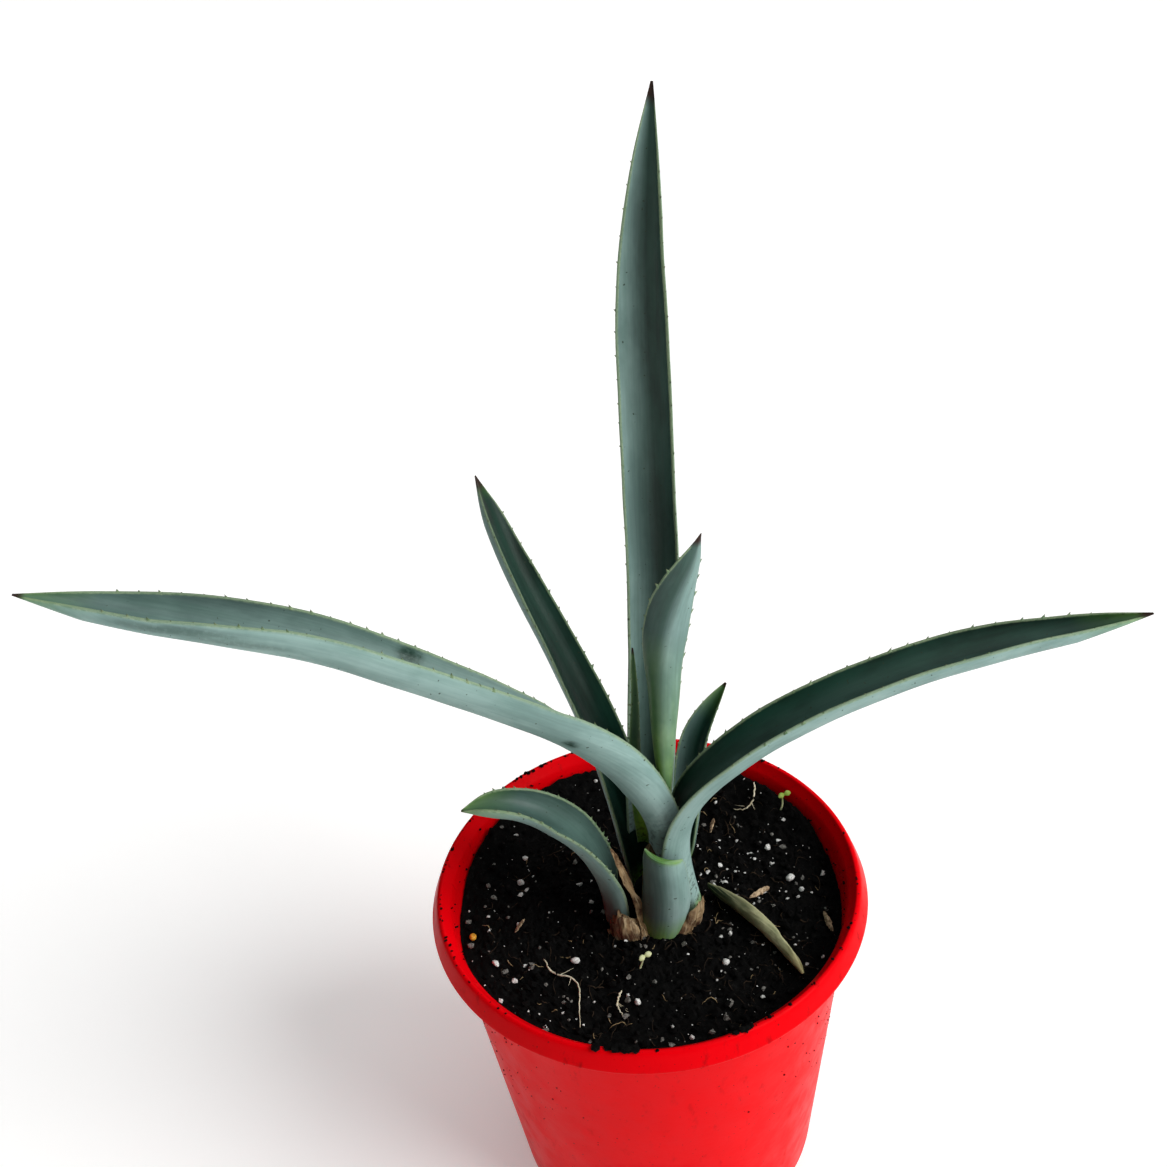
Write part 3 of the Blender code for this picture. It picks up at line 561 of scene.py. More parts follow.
def section_steps():
    """Across share, depth share and outward push round the leaf's closed section."""
    across = np.sin(np.linspace(-0.5, 0.5, 2 * LEAF_ACROSS + 1) * math.pi * 0.92)
    across = across / across[-1]
    steps = [(u, 0.0, 0.0) for u in across]
    steps += [(1.0, w, 0.5 * math.sin(math.pi * w)) for w in MARGIN_ROUND]
    steps += [(u, 1.0, 0.0) for u in across[::-1]]
    steps += [(-1.0, 1 - w, 0.5 * math.sin(math.pi * w)) for w in MARGIN_ROUND]
    return steps


def leaf_wobble(points, spec_seed, amount):
    """Slow unevenness in mm, as in anything that grew."""
    return np.array([noise.noise_vector(Vector(p) * 0.045 + Vector((spec_seed, 0, 0))) for p in points]) * amount


def leaf_shape(spec, seed):
    """A living leaf's verts in mm, faces, and the vectors that its skin reads."""
    length = np.linalg.norm(np.diff(np.asarray(spec["spine"], float), axis=0), axis=1).sum()
    rings = int(length * LEAF_RINGS_PER_MM) + 12
    shape = LeafFrame(spec, rings)
    steps = section_steps()
    grid = np.stack([shape.surface(u, w, p) for u, w, p in steps], axis=1)
    size = len(steps)
    u = np.tile([s[0] for s in steps], (rings, 1))
    outer = np.tile([s[1] for s in steps], (rings, 1))
    share = np.repeat(shape.share[:, None], size, axis=1)
    slant = spec.get("slant", 0.0)
    grid[:, :, 2] -= slant * (0.5 + 0.5 * u) * share ** 3
    wobble = leaf_wobble(shape.spine, seed, 0.4)
    grid += wobble[:, None, :] * np.sin(math.pi * shape.share)[:, None, None]
    ripple = np.array([noise.noise(Vector((t * length * 0.035, seed, 3.0))) for t in shape.share])
    other = np.array([noise.noise(Vector((t * length * 0.035, seed, 8.0))) for t in shape.share])
    lift = np.where(u > 0, ripple[:, None], other[:, None]) * np.abs(u) ** 3 * 0.4
    grid += shape.up[:, None, :] * (lift * np.minimum(1.0, shape.half / 6.0)[:, None])[:, :, None]
    vectors = skin_vectors(spec, shape, u, outer, share, seed)
    return grid.reshape(-1, 3), loft_faces(rings, size), vectors, shape


def skin_vectors(spec, shape, u, outer, share, seed):
    """What the skin reads: metres across and along, wax with painted light, margin, and marks."""
    metres = np.stack([u * shape.half[:, None] * MM + outer * 0.05, share * shape.length * MM,
                       np.full_like(u, seed * 0.37)], axis=-1)
    inner_low, inner_high, outer_low, outer_high = spec["bloom_and_light"]
    # The wax share across each face is painted light: it runs from the -1 value to the +1 value, paler on the half
    # that stands lit and darker on the half in painted shade.
    outer_lit_share = np.clip(0.5 + 1.6 * u, 0.0, 1.0)
    outer_lit_share = outer_lit_share * outer_lit_share * (3 - 2 * outer_lit_share)
    lit = np.clip(0.1 + 1.0 * u, 0.0, 1.0)
    inner_wax_and_light = (inner_low + (inner_high - inner_low) * lit) * (1.45 - 0.75 * share)
    outer_wax_and_light = outer_low + (outer_high - outer_low) * outer_lit_share
    wax_and_light = np.where(outer > 0.5, outer_wax_and_light, inner_wax_and_light)
    edge = np.clip((np.abs(u) * shape.half[:, None] - (shape.half[:, None] - 0.4)) / 0.35, 0.0, 1.0)
    edge = np.where(share > 1 - spec["spine_brown"], 0.0, edge)
    rubbed = np.zeros_like(u)
    for at, across, face, long, wide, depth in spec.get("rubs", ()):
        off = ((share - at) * shape.length / long) ** 2 + ((u - across) * shape.half[:, None] / wide) ** 2
        on_face = np.abs(outer - face) < 0.5
        rubbed = np.maximum(rubbed, np.where(on_face, depth * np.exp(-off ** 2), 0.0))
    yellow = np.clip(1.2 - share / max(spec["pale"], 1e-3), 0.0, 1.0)
    if spec["olive"]:
        tip = np.clip((share - 1 + spec["olive"]) / spec["olive"], 0.0, 1.0)
        near_edge = 0.35 + 0.65 * np.abs(u) ** 2
        yellow = np.maximum(yellow, 0.85 * tip * near_edge)
    if spec.get("slant"):
        yellow = np.maximum(yellow, 0.7 * np.clip((share - 0.97) / 0.02, 0.0, 1.0))
    brown = np.zeros_like(u)
    if spec["spine_brown"]:
        brown = np.clip((share - 1 + spec["spine_brown"] * 1.3) / (spec["spine_brown"] * 0.6), 0.0, 1.0)
    return {
        "leaf_metres": metres.reshape(-1, 3),
        "leaf_skin": np.stack([wax_and_light, edge, share], axis=-1).reshape(-1, 3),
        "leaf_marks": np.stack([rubbed, yellow, brown], axis=-1).reshape(-1, 3),
    }


def tooth(shape, share, sign, size, rng):
    """One forward-hooked prickle on the margin, with its skin vectors."""
    root, outward, forward = shape.margin(share, sign)
    normal = unit(np.cross(outward, forward))
    lean = 0.35 + 0.5 * rng.random()
    rows = 5
    around = 6
    points = []
    for i in range(rows):
        s = i / (rows - 1)
        centre = root + outward * (size * s - 0.25) + forward * (size * lean * s * s)
        long = 0.75 * size * (1 - s) ** 1.2 + 0.05
        wide = 0.32 * size * (1 - s) + 0.04
        for k in range(around):
            turn = 2 * math.pi * k / around
            points.append(centre + forward * (long * math.cos(turn)) + normal * (wide * math.sin(turn)))
    height = np.repeat(np.linspace(0, 1, rows), around)
    skin = np.stack([np.zeros_like(height), np.ones_like(height), np.full_like(height, share)], axis=-1)
    marks = np.stack([0 * height, 0.25 + 0 * height, 0.75 * np.clip(height * 2 - 0.9, 0, 1)], axis=-1)
    metres = np.stack([height * 0.001, np.full_like(height, share * 0.2), 0 * height + rng.random()], axis=-1)
    return np.array(points), loft_faces(rows, around), metres, skin, marks


def leaf_teeth(spec, shape, rng):
    """Prickles down both margins, closer together near the base."""
    found = []
    if not spec["teeth"]:
        return found
    first, last = spec["teeth"]
    near_gap, far_gap = spec["gap"]
    for sign in (-1, 1):
        share = first + 0.02 * rng.random()
        while share < last:
            width = np.interp(share, shape.share, shape.half)
            size = 1.35 * (0.75 + 0.4 * rng.random()) * min(1.0, 0.5 + 0.08 * width)
            found.append(tooth(shape, share, sign, size, rng))
            gap = near_gap + (far_gap - near_gap) * (share - first) / (last - first)
            share += gap * (0.85 + 0.3 * rng.random()) / shape.length
    return found


def build_leaf(name, spec, seed, material):
    rng = np.random.default_rng(seed)
    verts, faces, vectors, shape = leaf_shape(spec, seed)
    shapes = [(verts, faces)]
    columns = {key: [value] for key, value in vectors.items()}
    for points, polygons, metres, skin, marks in leaf_teeth(spec, shape, rng):
        shapes.append((points, polygons))
        columns["leaf_metres"].append(metres)
        columns["leaf_skin"].append(skin)
        columns["leaf_marks"].append(marks)
    verts, faces = join_shapes(shapes)
    joined = {key: np.concatenate(values) for key, values in columns.items()}
    piece = make_piece(name + "_skin", verts * MM, faces, material, joined, 60.0)
    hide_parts(name)
    return piece


def build_dry_leaf(name, spec, seed, material):
    """A dead or wilted leaf: the gutter shape, crumpled, with a ragged top."""
    length = np.linalg.norm(np.diff(np.asarray(spec["spine"], float), axis=0), axis=1).sum()
    rings = int(length * 1.4) + 10
    shape = LeafFrame(spec, rings)
    steps = section_steps()
    grid = np.stack([shape.surface(u, w, p) for u, w, p in steps], axis=1)
    size = len(steps)
    u = np.tile([s[0] for s in steps], (rings, 1))
    share = np.repeat(shape.share[:, None], size, axis=1)
    crumple = np.zeros((rings, size, 3))
    for i in range(rings):
        for k in range(size):
            at = Vector((u[i, k] * shape.half[i] * 0.5, shape.share[i] * length * 0.12, seed))
            crumple[i, k] = noise.noise_vector(at) * spec["crumple"]
            crumple[i, k] += noise.noise_vector(at * 3.1) * spec["crumple"] * 0.4
    grid += crumple
    rag = np.array([noise.noise(Vector((k * 1.9, seed, 5.0))) for k in np.linspace(-1, 1, 41)])
    drop = np.interp(u[0], np.linspace(-1, 1, 41), rag) * spec["ragged"]
    grid[:, :, 2] += drop[None, :] * share ** 2
    metres = np.stack([u * shape.half[:, None] * MM, share * length * MM, np.full_like(u, seed)], axis=-1)
    edge = np.clip(np.abs(u) * 6 - 5, 0, 1)
    vectors = {"leaf_metres": metres.reshape(-1, 3),
               "leaf_skin": np.stack([0 * u, edge, share], axis=-1).reshape(-1, 3)}
    piece = make_piece(name + "_skin", grid.reshape(-1, 3) * MM, loft_faces(rings, size), material, vectors)
    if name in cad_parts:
        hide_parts(name)
    return piece


# ---- pot ----------------------------------------------------------------------------------------
POT_HEIGHT = (POT_HIGH[2] - POT_LOW[2]) / MM
RIM_RADIUS = (POT_HIGH[0] - POT_LOW[0]) / 2 / MM
LIP_RADIUS = RIM_RADIUS - 2.5
RIM_HEIGHT = 7.7
RIM_SKIRT = 1.6
WALL = 1.7
WALL_TOP_RADIUS = RIM_RADIUS - 6.5
BASE_RADIUS = WALL_TOP_RADIUS - 15.0
FLOOR = 2.0
FOOT_RING_INNER = 51.0
RECESS_INNER = 28.0
RECESS_LIFT = 3.0
DRAIN_HOLES = 8
DRAIN_RADIUS = 4.5
DRAIN_CIRCLE = 40.0


def wall_radius(z, inside=0.0):
    """The pot wall's radius at a height, less a distance inwards, in mm."""
    return BASE_RADIUS + (WALL_TOP_RADIUS - BASE_RADIUS) * z / (POT_HEIGHT - RIM_HEIGHT) - inside


def pot_profile():
    """Radius and height round the pot's section: out over the rim, down, and back up inside."""
    skirt = POT_HEIGHT - RIM_HEIGHT
    under = POT_HEIGHT - 2.0
    return [
        (LIP_RADIUS - 1.1, POT_HEIGHT), (LIP_RADIUS - 0.55, POT_HEIGHT - 0.08),
        (LIP_RADIUS - 0.1, POT_HEIGHT - 0.4), (LIP_RADIUS + 0.28, POT_HEIGHT - 1.0),
        (LIP_RADIUS + 0.75, POT_HEIGHT - 2.2), (RIM_RADIUS - 0.75, skirt + 2.6),
        (RIM_RADIUS - 0.2, skirt + 1.1), (RIM_RADIUS, skirt + 0.5), (RIM_RADIUS - 0.12, skirt + 0.15),
        (RIM_RADIUS - 0.45, skirt), (RIM_RADIUS - RIM_SKIRT + 0.2, skirt),
        (RIM_RADIUS - RIM_SKIRT, skirt + 0.2), (LIP_RADIUS - 0.7, under - 1.0),
        (LIP_RADIUS - 1.2, under - 0.2), (LIP_RADIUS - 1.9, under),
        (wall_radius(under) + 0.5, under - 0.3), (wall_radius(under) + 0.05, under - 1.2),
        (wall_radius(skirt), skirt), (wall_radius(90.0), 90.0), (wall_radius(45.0), 45.0),
        (wall_radius(3.5), 3.5), (wall_radius(1.6) - 0.15, 1.6),
        (BASE_RADIUS - 0.7, 0.45), (BASE_RADIUS - 1.8, 0.0),
        (FOOT_RING_INNER + 0.4, 0.0), (FOOT_RING_INNER, 0.25), (FOOT_RING_INNER - 1.0, RECESS_LIFT - 0.3),
        (FOOT_RING_INNER - 1.4, RECESS_LIFT), (RECESS_INNER + 0.4, RECESS_LIFT),
        (RECESS_INNER, RECESS_LIFT - 0.3), (RECESS_INNER - 1.0, 0.25), (RECESS_INNER - 1.4, 0.0),
        (0.0, 0.0), (0.0, FLOOR), (RECESS_INNER - 1.0, FLOOR), (RECESS_INNER, RECESS_LIFT + FLOOR),
        (FOOT_RING_INNER - 1.0, RECESS_LIFT + FLOOR), (FOOT_RING_INNER, FLOOR),
        (wall_radius(FLOOR, WALL + 1.2), FLOOR), (wall_radius(FLOOR + 1.2, WALL), FLOOR + 1.2),
        (wall_radius(skirt, WALL), skirt), (wall_radius(under, WALL) + 0.25, under - 2.4),
        (wall_radius(under, WALL) + 1.0, under - 0.8), (LIP_RADIUS - 2.0, POT_HEIGHT - 0.9),
        (LIP_RADIUS - 1.75, POT_HEIGHT - 0.25), (LIP_RADIUS - 1.5, POT_HEIGHT - 0.05),
    ]


def turned(profile, sides):
    """A closed solid turned about the vertical axis from (radius, z) points in mm."""
    verts = []
    rings = []
    for radius, z in profile:
        count = 1 if radius == 0.0 else sides
        turns = np.arange(count) * 2 * math.pi / sides
        rings.append(range(len(verts), len(verts) + count))
        verts.extend(zip(radius * np.cos(turns), radius * np.sin(turns), [z] * count))
    faces = []
    for upper, lower in zip(rings, rings[1:] + rings[:1]):
        faces.extend(ring_faces(list(upper), list(lower), sides))
    return np.array(verts), faces


def ring_faces(upper, lower, sides):
    if len(upper) == 1 and len(lower) == 1:
        return []
    found = []
    for k in range(sides):
        n = (k + 1) % sides
        if len(upper) == 1:
            found.append((upper[0], lower[k], lower[n]))
        elif len(lower) == 1:
            found.append((upper[k], lower[0], upper[n]))
        else:
            found.append((upper[k], lower[k], lower[n], upper[n]))
    return found


def build_pot(material):
    verts, faces = turned(pot_profile(), 256)
    piece = make_piece("pot_moulding", verts * MM, faces, material, sharp=50.0)
    drills = []
    for k in range(DRAIN_HOLES):
        turn = 2 * math.pi * (k + 0.5) / DRAIN_HOLES
        at = (DRAIN_CIRCLE * math.cos(turn) * MM, DRAIN_CIRCLE * math.sin(turn) * MM, 4 * MM)
        bpy.ops.mesh.primitive_cylinder_add(vertices=40, radius=DRAIN_RADIUS * MM, depth=14 * MM, location=at)
        drill = bpy.context.object
        cut = piece.modifiers.new("drain", "BOOLEAN")
        cut.object = drill
        drills.append(drill)
    graph = bpy.context.evaluated_depsgraph_get()
    mesh = bpy.data.meshes.new_from_object(piece.evaluated_get(graph))
    piece.modifiers.clear()
    piece.data = mesh
    for drill in drills:
        bpy.data.objects.remove(drill, do_unlink=True)
    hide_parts("pot")
    return piece


# ---- soil ----------------------------------------------------------------------------------------
SOIL_TOP = 121.5
SOIL_BUMP = 1.6
SOIL_MOUND = 1.5
# The soil is banked up against the back of the pot.
SOIL_BANK = 7.5
BANK_START = 47.0
BANK_END = 67.0
BANK_FULL = 34.0
SOIL_RINGS = 150
SOIL_SIDES = 300


def soil_height(x, y):
    """Height in mm of the soil's slow lumps and bank, as on its solid."""
    lumps = noise.noise(Vector((x, y, 0.0)) * 0.07) + 0.6 * noise.noise(Vector((x, y, 9.0)) * 0.17)
    mound = SOIL_MOUND * math.exp(-(x * x + y * y) / 900.0)
    outward = min(1.0, max(0.0, (math.hypot(x, y) - BANK_START) / (BANK_END - BANK_START)))
    backward = min(1.0, max(0.0, y / BANK_FULL))
    return SOIL_TOP + SOIL_BUMP * lumps + mound + SOIL_BANK * (outward * backward) ** 1.5


def soil_detail(x, y):
    """Height in mm of the soil with its clods, crumbs and pits."""
    at = Vector((x, y, 0.0))
    clods = noise.fractal(at * 0.28 + Vector((7.0, 0.0, 0.0)), 0.9, 2.1, 4)
    crumbs = noise.turbulence(at * 0.75, 3, False) - 0.5
    return soil_height(x, y) + 1.1 * clods + 0.9 * crumbs


def build_soil(material):
    """The soil: the pot's inside below, and a crumbly surface on top."""
    clear = WALL + 0.3
    top_radius = wall_radius(SOIL_TOP, clear)
    verts = [(0.0, 0.0, soil_detail(0.0, 0.0))]
    for j in range(1, SOIL_RINGS + 1):
        radius = top_radius * j / SOIL_RINGS
        for k in range(SOIL_SIDES):
            turn = 2 * math.pi * k / SOIL_SIDES
            x = radius * math.cos(turn)
            y = radius * math.sin(turn)
            verts.append((x, y, soil_detail(x, y)))
    faces = [(0, 1 + k, 1 + (k + 1) % SOIL_SIDES) for k in range(SOIL_SIDES)]
    profile = [
        (wall_radius(SOIL_TOP - 6.0, clear), SOIL_TOP - 6.0), (wall_radius(FLOOR + 1.5, clear), FLOOR + 1.5),
        (wall_radius(FLOOR, clear + 1.3), FLOOR + 0.3), (FOOT_RING_INNER + 0.4, FLOOR + 0.3),
        (FOOT_RING_INNER - 0.6, RECESS_LIFT + FLOOR + 0.3), (RECESS_INNER - 0.4, RECESS_LIFT + FLOOR + 0.3),
        (RECESS_INNER - 1.4, FLOOR + 0.3)]
    for radius, z in profile:
        for k in range(SOIL_SIDES):
            turn = 2 * math.pi * k / SOIL_SIDES
            verts.append((radius * math.cos(turn), radius * math.sin(turn), z))
    for j in range(SOIL_RINGS + len(profile) - 1):
        upper = 1 + j * SOIL_SIDES
        lower = upper + SOIL_SIDES
        for k in range(SOIL_SIDES):
            n = (k + 1) % SOIL_SIDES
            faces.append((upper + k, lower + k, lower + n, upper + n))
    last = 1 + (SOIL_RINGS + len(profile) - 1) * SOIL_SIDES
    verts.append((0.0, 0.0, FLOOR + 0.3))
    faces.extend((last + (k + 1) % SOIL_SIDES, last + k, len(verts) - 1) for k in range(SOIL_SIDES))
    piece = make_piece("soil_body", np.array(verts) * MM, faces, material, sharp=50.0)
    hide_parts("potting_mix")
    return piece


def lump_template(subdivisions):
    """The verts and faces of a unit ball, to be made rough."""
    bm = bmesh.new()
    bmesh.ops.create_icosphere(bm, subdivisions=subdivisions, radius=1.0)
    verts = np.array([v.co for v in bm.verts])
    faces = [tuple(v.index for v in f.verts) for f in bm.faces]
    bm.free()
    return verts, faces


def rough_lump(template, centre, size, rng, rough=0.35, squash=0.75):
    """One grain: a ball pushed about by noise, stretched and turned."""
    verts, faces = template
    offset = rng.random(3) * 50
    push = np.array([noise.noise(Vector(v * 1.3 + offset)) + 0.5 * noise.noise(Vector(v * 3.1 + offset))
                     for v in verts])
    shaped = verts * (1 + rough * push)[:, None]
    shaped = shaped * np.array([1.0, 0.65 + 0.35 * rng.random(), squash * (0.7 + 0.3 * rng.random())])
    turn = Matrix.Rotation(rng.random() * 6.28, 3, "Z") @ Matrix.Rotation((rng.random() - 0.5) * 1.2, 3, "X")
    return shaped @ np.array(turn).T * size + centre, faces


def random_spot(rng, outer=67.0, inner=12.0):
    """A place on the soil, evenly spread."""
    radius = math.sqrt(inner ** 2 + (outer ** 2 - inner ** 2) * rng.random())
    turn = 2 * math.pi * rng.random()
    return radius * math.cos(turn), radius * math.sin(turn)


def grain_sizes(rng, count, small, large, skew):
    return small + (large - small) * rng.random(count) ** skew


def scatter_lumps(name, material, count, sizes, seed, rough, squash, sink, subdivisions=1, crowd=None):
    """Many grains as one piece, each sunk a little in the soil."""
    rng = np.random.default_rng(seed)
    template = lump_template(subdivisions)
    shapes = []
    for size in grain_sizes(rng, count, *sizes):
        x, y = random_spot(rng)
        if crowd and rng.random() < crowd[3]:
            x = crowd[0] + rng.normal() * crowd[2]
            y = crowd[1] + rng.normal() * crowd[2]
            if math.hypot(x, y) > 67.0:
                x, y = random_spot(rng)
        centre = np.array([x, y, soil_detail(x, y) + size * (squash - sink)])
        shapes.append(rough_lump(template, centre, size, rng, rough, squash))
    verts, faces = join_shapes(shapes)
    return make_piece(name, verts * MM, faces, material, sharp=35.0)


def curl(rng, start, length, steps, lift, wander):
    """A short wandering fibre lying on the soil, in mm."""
    heading = rng.random() * 2 * math.pi
    x, y = start
    bend = rng.normal() * wander
    points = []
    for i in range(steps):
        s = i / (steps - 1)
        z = soil_detail(x, y) + lift * (0.25 + math.sin(math.pi * s)) + 0.15
        points.append((x, y, z))
        heading += bend + rng.normal() * wander * 0.5
        x += math.cos(heading) * length / steps
        y += math.sin(heading) * length / steps
    return np.array(points)


def scatter_fibres(name, material, count, lengths, widths, seed, lift, wander, flat):
    """Many fibres or root hairs as one piece."""
    rng = np.random.default_rng(seed)
    shapes = []
    while len(shapes) < count:
        spot = random_spot(rng, 64.0, 16.0)
        length = lengths[0] + (lengths[1] - lengths[0]) * rng.random() ** 1.6
        path = curl(rng, spot, length, 9, lift * rng.random(), wander)
        if np.hypot(path[:, 0], path[:, 1]).max() > 66.5:
            continue
        width = widths[0] + (widths[1] - widths[0]) * rng.random()
        radii = width / 2 * np.interp(np.linspace(0, 1, 9), (0, 0.15, 0.7, 1), (0.5, 1, 0.85, 0.2))
        shapes.append(tube(path, radii, 5, flat))
    verts, faces = join_shapes(shapes)
    return make_piece(name, verts * MM, faces, material)


def build_grain(name, seed, material, rough=0.3, subdivisions=3, suffix="_finished"):
    """One grain in the box of its solid."""
    rng = np.random.default_rng(seed)
    low, high = (np.array(corner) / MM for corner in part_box(name))
    centre = (low + high) / 2
    template = lump_template(subdivisions)
    verts, faces = rough_lump(template, np.zeros(3), 1.0, rng, rough, 0.85)
    span = verts.max(axis=0) - verts.min(axis=0)
    verts = verts / span.max() * (high - low).max() + centre
    piece = make_piece(name + suffix, verts * MM, faces, material, sharp=60.0)
    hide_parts(name)
    return piece


def build_splinter(name, seed, material):
    """A bark chip: a split sliver with ragged ends, along the diagonal of its solid's box."""
    rng = np.random.default_rng(seed)
    low, high = (np.array(corner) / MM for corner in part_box(name))
    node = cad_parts[name]
    points = np.array([v.co for v in node.data.vertices]) / MM
    flat = points[:, :2] - points[:, :2].mean(axis=0)
    direction = np.linalg.svd(flat, full_matrices=False)[2][0]
    reach = (flat @ direction).max()
    centre = (low + high) / 2
    rows = 15
    path = []
    for i in range(rows):
        s = i / (rows - 1)
        along = (2 * s - 1) * reach
        path.append((centre[0] + direction[0] * along, centre[1] + direction[1] * along,
                     centre[2] + 0.35 * math.sin(2.2 * s) + 0.12 * rng.normal()))
    widths = np.interp(np.linspace(0, 1, rows), (0, 0.1, 0.45, 0.85, 1), (0.25, 0.8, 1.15, 0.7, 0.15))
    widths = widths * (1 + 0.12 * rng.normal(size=rows))
    verts, faces = tube(np.array(path), widths, 9, 0.45)
    piece = make_piece(name + "_splinter", verts * MM, faces, material, sharp=35.0)
    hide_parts(name)
    return piece


def build_rootlet(name, route, seed, material):
    """A pale root lying on the soil, with finer roots off it."""
    rng = np.random.default_rng(seed)
    flat = cubic_through([(x, y, 0.0) for x, y in route], 44)
    wander = np.array([noise.noise_vector(Vector((i * 0.35, seed, 0))) for i in range(44)]) * 0.5
    path = np.array([(p[0] + w[0], p[1] + w[1], soil_height(p[0], p[1]) + 0.85 + 0.5 * w[2])
                     for p, w in zip(flat, wander)])
    radii = 0.36 * np.interp(np.linspace(0, 1, 44), (0, 0.1, 0.6, 1), (0.6, 1.0, 0.75, 0.3))
    shapes = [tube(path, radii, 8)]
    for k in rng.choice(np.arange(6, 40), 2, replace=False):
        shapes.append(root_hair(path, int(k), rng))
    verts, faces = join_shapes(shapes)
    piece = make_piece(name + "_root", verts * MM, faces, material)
    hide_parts(name)
    return piece


def root_hair(path, k, rng):
    """One fine side root that leaves the path at its k-th point."""
    ahead = unit(path[min(k + 1, len(path) - 1)] - path[k - 1])
    aside = np.array([-ahead[1], ahead[0], 0.0]) * rng.choice((-1, 1))
    length = 2.5 + 3.5 * rng.random()
    steps = np.linspace(0, 1, 8)
    points = [path[k] + (ahead * 0.5 + aside * 0.8) * length * s + aside * 0.8 * s * s
              - np.array([0, 0, 0.5 * s]) for s in steps]
    return tube(np.array(points), 0.15 * (1 - 0.7 * steps), 5)


def build_seedling(name, seed, material, curl_turns):
    """A weed seedling: a bent pale stalk and two thick seed leaves."""
    rng = np.random.default_rng(seed)
    low, high = (np.array(corner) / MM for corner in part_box(name))
    middle = (low[1] + high[1]) / 2
    base = np.array([low[0] + 0.8, middle, max(low[2], soil_height(low[0], middle) - 0.6)])
    rise = high[2] - low[2] - 1.4
    steps = np.linspace(0, 1, 14)
    stalk = [base + np.array([2.0 * s * s + 0.5 * math.sin(curl_turns * s), 0.6 * math.sin(2 * s), rise * s])
             for s in steps]
    shapes = [tube(np.array(stalk), 0.42 - 0.12 * steps, 8)]
    for sign in (-1, 1):
        turn = rng.random() + (math.pi if sign > 0 else 0.0)
        out = np.array([math.cos(turn), math.sin(turn), 0.0])
        blade = [stalk[-1] + out * 2.6 * s + np.array([0, 0, 0.9 * s - 1.0 * s * s]) for s in steps]
        widths = 0.95 * np.sin(math.pi * np.clip(steps, 0.05, 0.97)) ** 0.6 + 0.12
        shapes.append(tube(np.array(blade), widths, 10, 0.4))
    verts, faces = join_shapes(shapes)
    piece = make_piece(name + "_sprout", verts * MM, faces, material)
    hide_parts(name)
    return piece


def build_rim_dirt(material):
    """Crumbs of soil left on the lip and inside the rim, and splashes down the wall."""
    rng = np.random.default_rng(61)
    template = lump_template(1)
    shapes = []
    # Heaps by their direction from +X in degrees, spread, count and largest size.
    heaps = [(259, 2.5, 30, 2.1), (292, 3, 18, 1.7), (50, 3, 12, 1.1), (118, 8, 26, 1.0),
             (205, 14, 16, 0.8), (330, 20, 18, 0.8), (160, 20, 20, 0.8)]
    for direction, spread, count, largest in heaps:
        for _ in range(count):
            turn = math.radians(direction + rng.normal() * spread)
            size = 0.3 + (largest - 0.3) * rng.random() ** 2
            radius = LIP_RADIUS - 1.2 + rng.normal() * 0.35
            centre = np.array([radius * math.cos(turn), radius * math.sin(turn), POT_HEIGHT + size * 0.3])
            shapes.append(rough_lump(template, centre, size, rng, 0.4, 0.7))
    for _ in range(190):
        turn = math.radians(rng.choice((212, 328)) + 17 * rng.normal())
        z = POT_HEIGHT - RIM_HEIGHT - 2 - 60 * rng.random() ** 1.3
        size = 0.16 + 0.3 * rng.random() ** 3
        radius = wall_radius(z) + size * 0.2
        centre = np.array([radius * math.cos(turn), radius * math.sin(turn), z])
        shapes.append(rough_lump(template, centre, size, rng, 0.35, 0.9))
    for _ in range(150):
        turn = rng.random() * 2 * math.pi
        z = POT_HEIGHT - 2.5 - 9 * rng.random()
        size = 0.2 + 0.45 * rng.random() ** 2
        radius = wall_radius(min(z, 130.0), WALL) + 1.2 * max(0.0, z - 130.0) / 3.0 - size * 0.25
        centre = np.array([radius * math.cos(turn), radius * math.sin(turn), z])
        shapes.append(rough_lump(template, centre, size, rng, 0.35, 0.9))
    verts, faces = join_shapes(shapes)
    return make_piece("rim_dirt", verts * MM, faces, material, sharp=40.0)


# ---- settings -------------------------------------------------------------------------------------
class AgavePotSettings(bpy.types.PropertyGroup):
    red: StringProperty(name="Pot colour", description="Colour of the moulded plastic, as sRGB hex", default="EA000C")


class AgaveLeafSettings(bpy.types.PropertyGroup):
    seed: IntProperty(name="Growth seed", description="Varies the leaves' unevenness and teeth", default=3)


class AgaveSoilSettings(bpy.types.PropertyGroup):
    crumbs: IntProperty(name="Crumbs", description="Loose crumbs of soil on the surface", default=1500)
    perlite: IntProperty(name="Perlite", description="White perlite grains on the surface", default=230)
    fibres: IntProperty(name="Fibres", description="Loose peat fibres on the surface", default=260)


class AgaveStageSettings(bpy.types.PropertyGroup):
    lens: FloatProperty(name="Focal length", description="Camera lens in mm on a 36 mm sensor", default=55.53)
    pitch: FloatProperty(name="Pitch", description="How far the camera looks down", subtype="ANGLE",
                         default=math.radians(37.27))
    roll: FloatProperty(name="Roll", description="How far the camera is turned about its view", subtype="ANGLE",
                        default=math.radians(-5.84))
    place: FloatVectorProperty(name="Camera place", description="Where the camera stands", subtype="TRANSLATION",
                               default=(-0.0118, -0.4449, 0.6089))
    floor: StringProperty(name="Floor colour", description="Colour of the paper floor, as sRGB hex", default="F7F7F5")


# ---- operators --------------------------------------------------------------------------------------
class AGAVE_OT_pot(bpy.types.Operator):
    """Build the nursery pot and the dirt on it"""
    bl_idname = "agave.pot"
    bl_label = "Nursery pot"

    def execute(self, context):
        build_pot(polypropylene(context.scene.agave_pot.red))
        return {"FINISHED"}


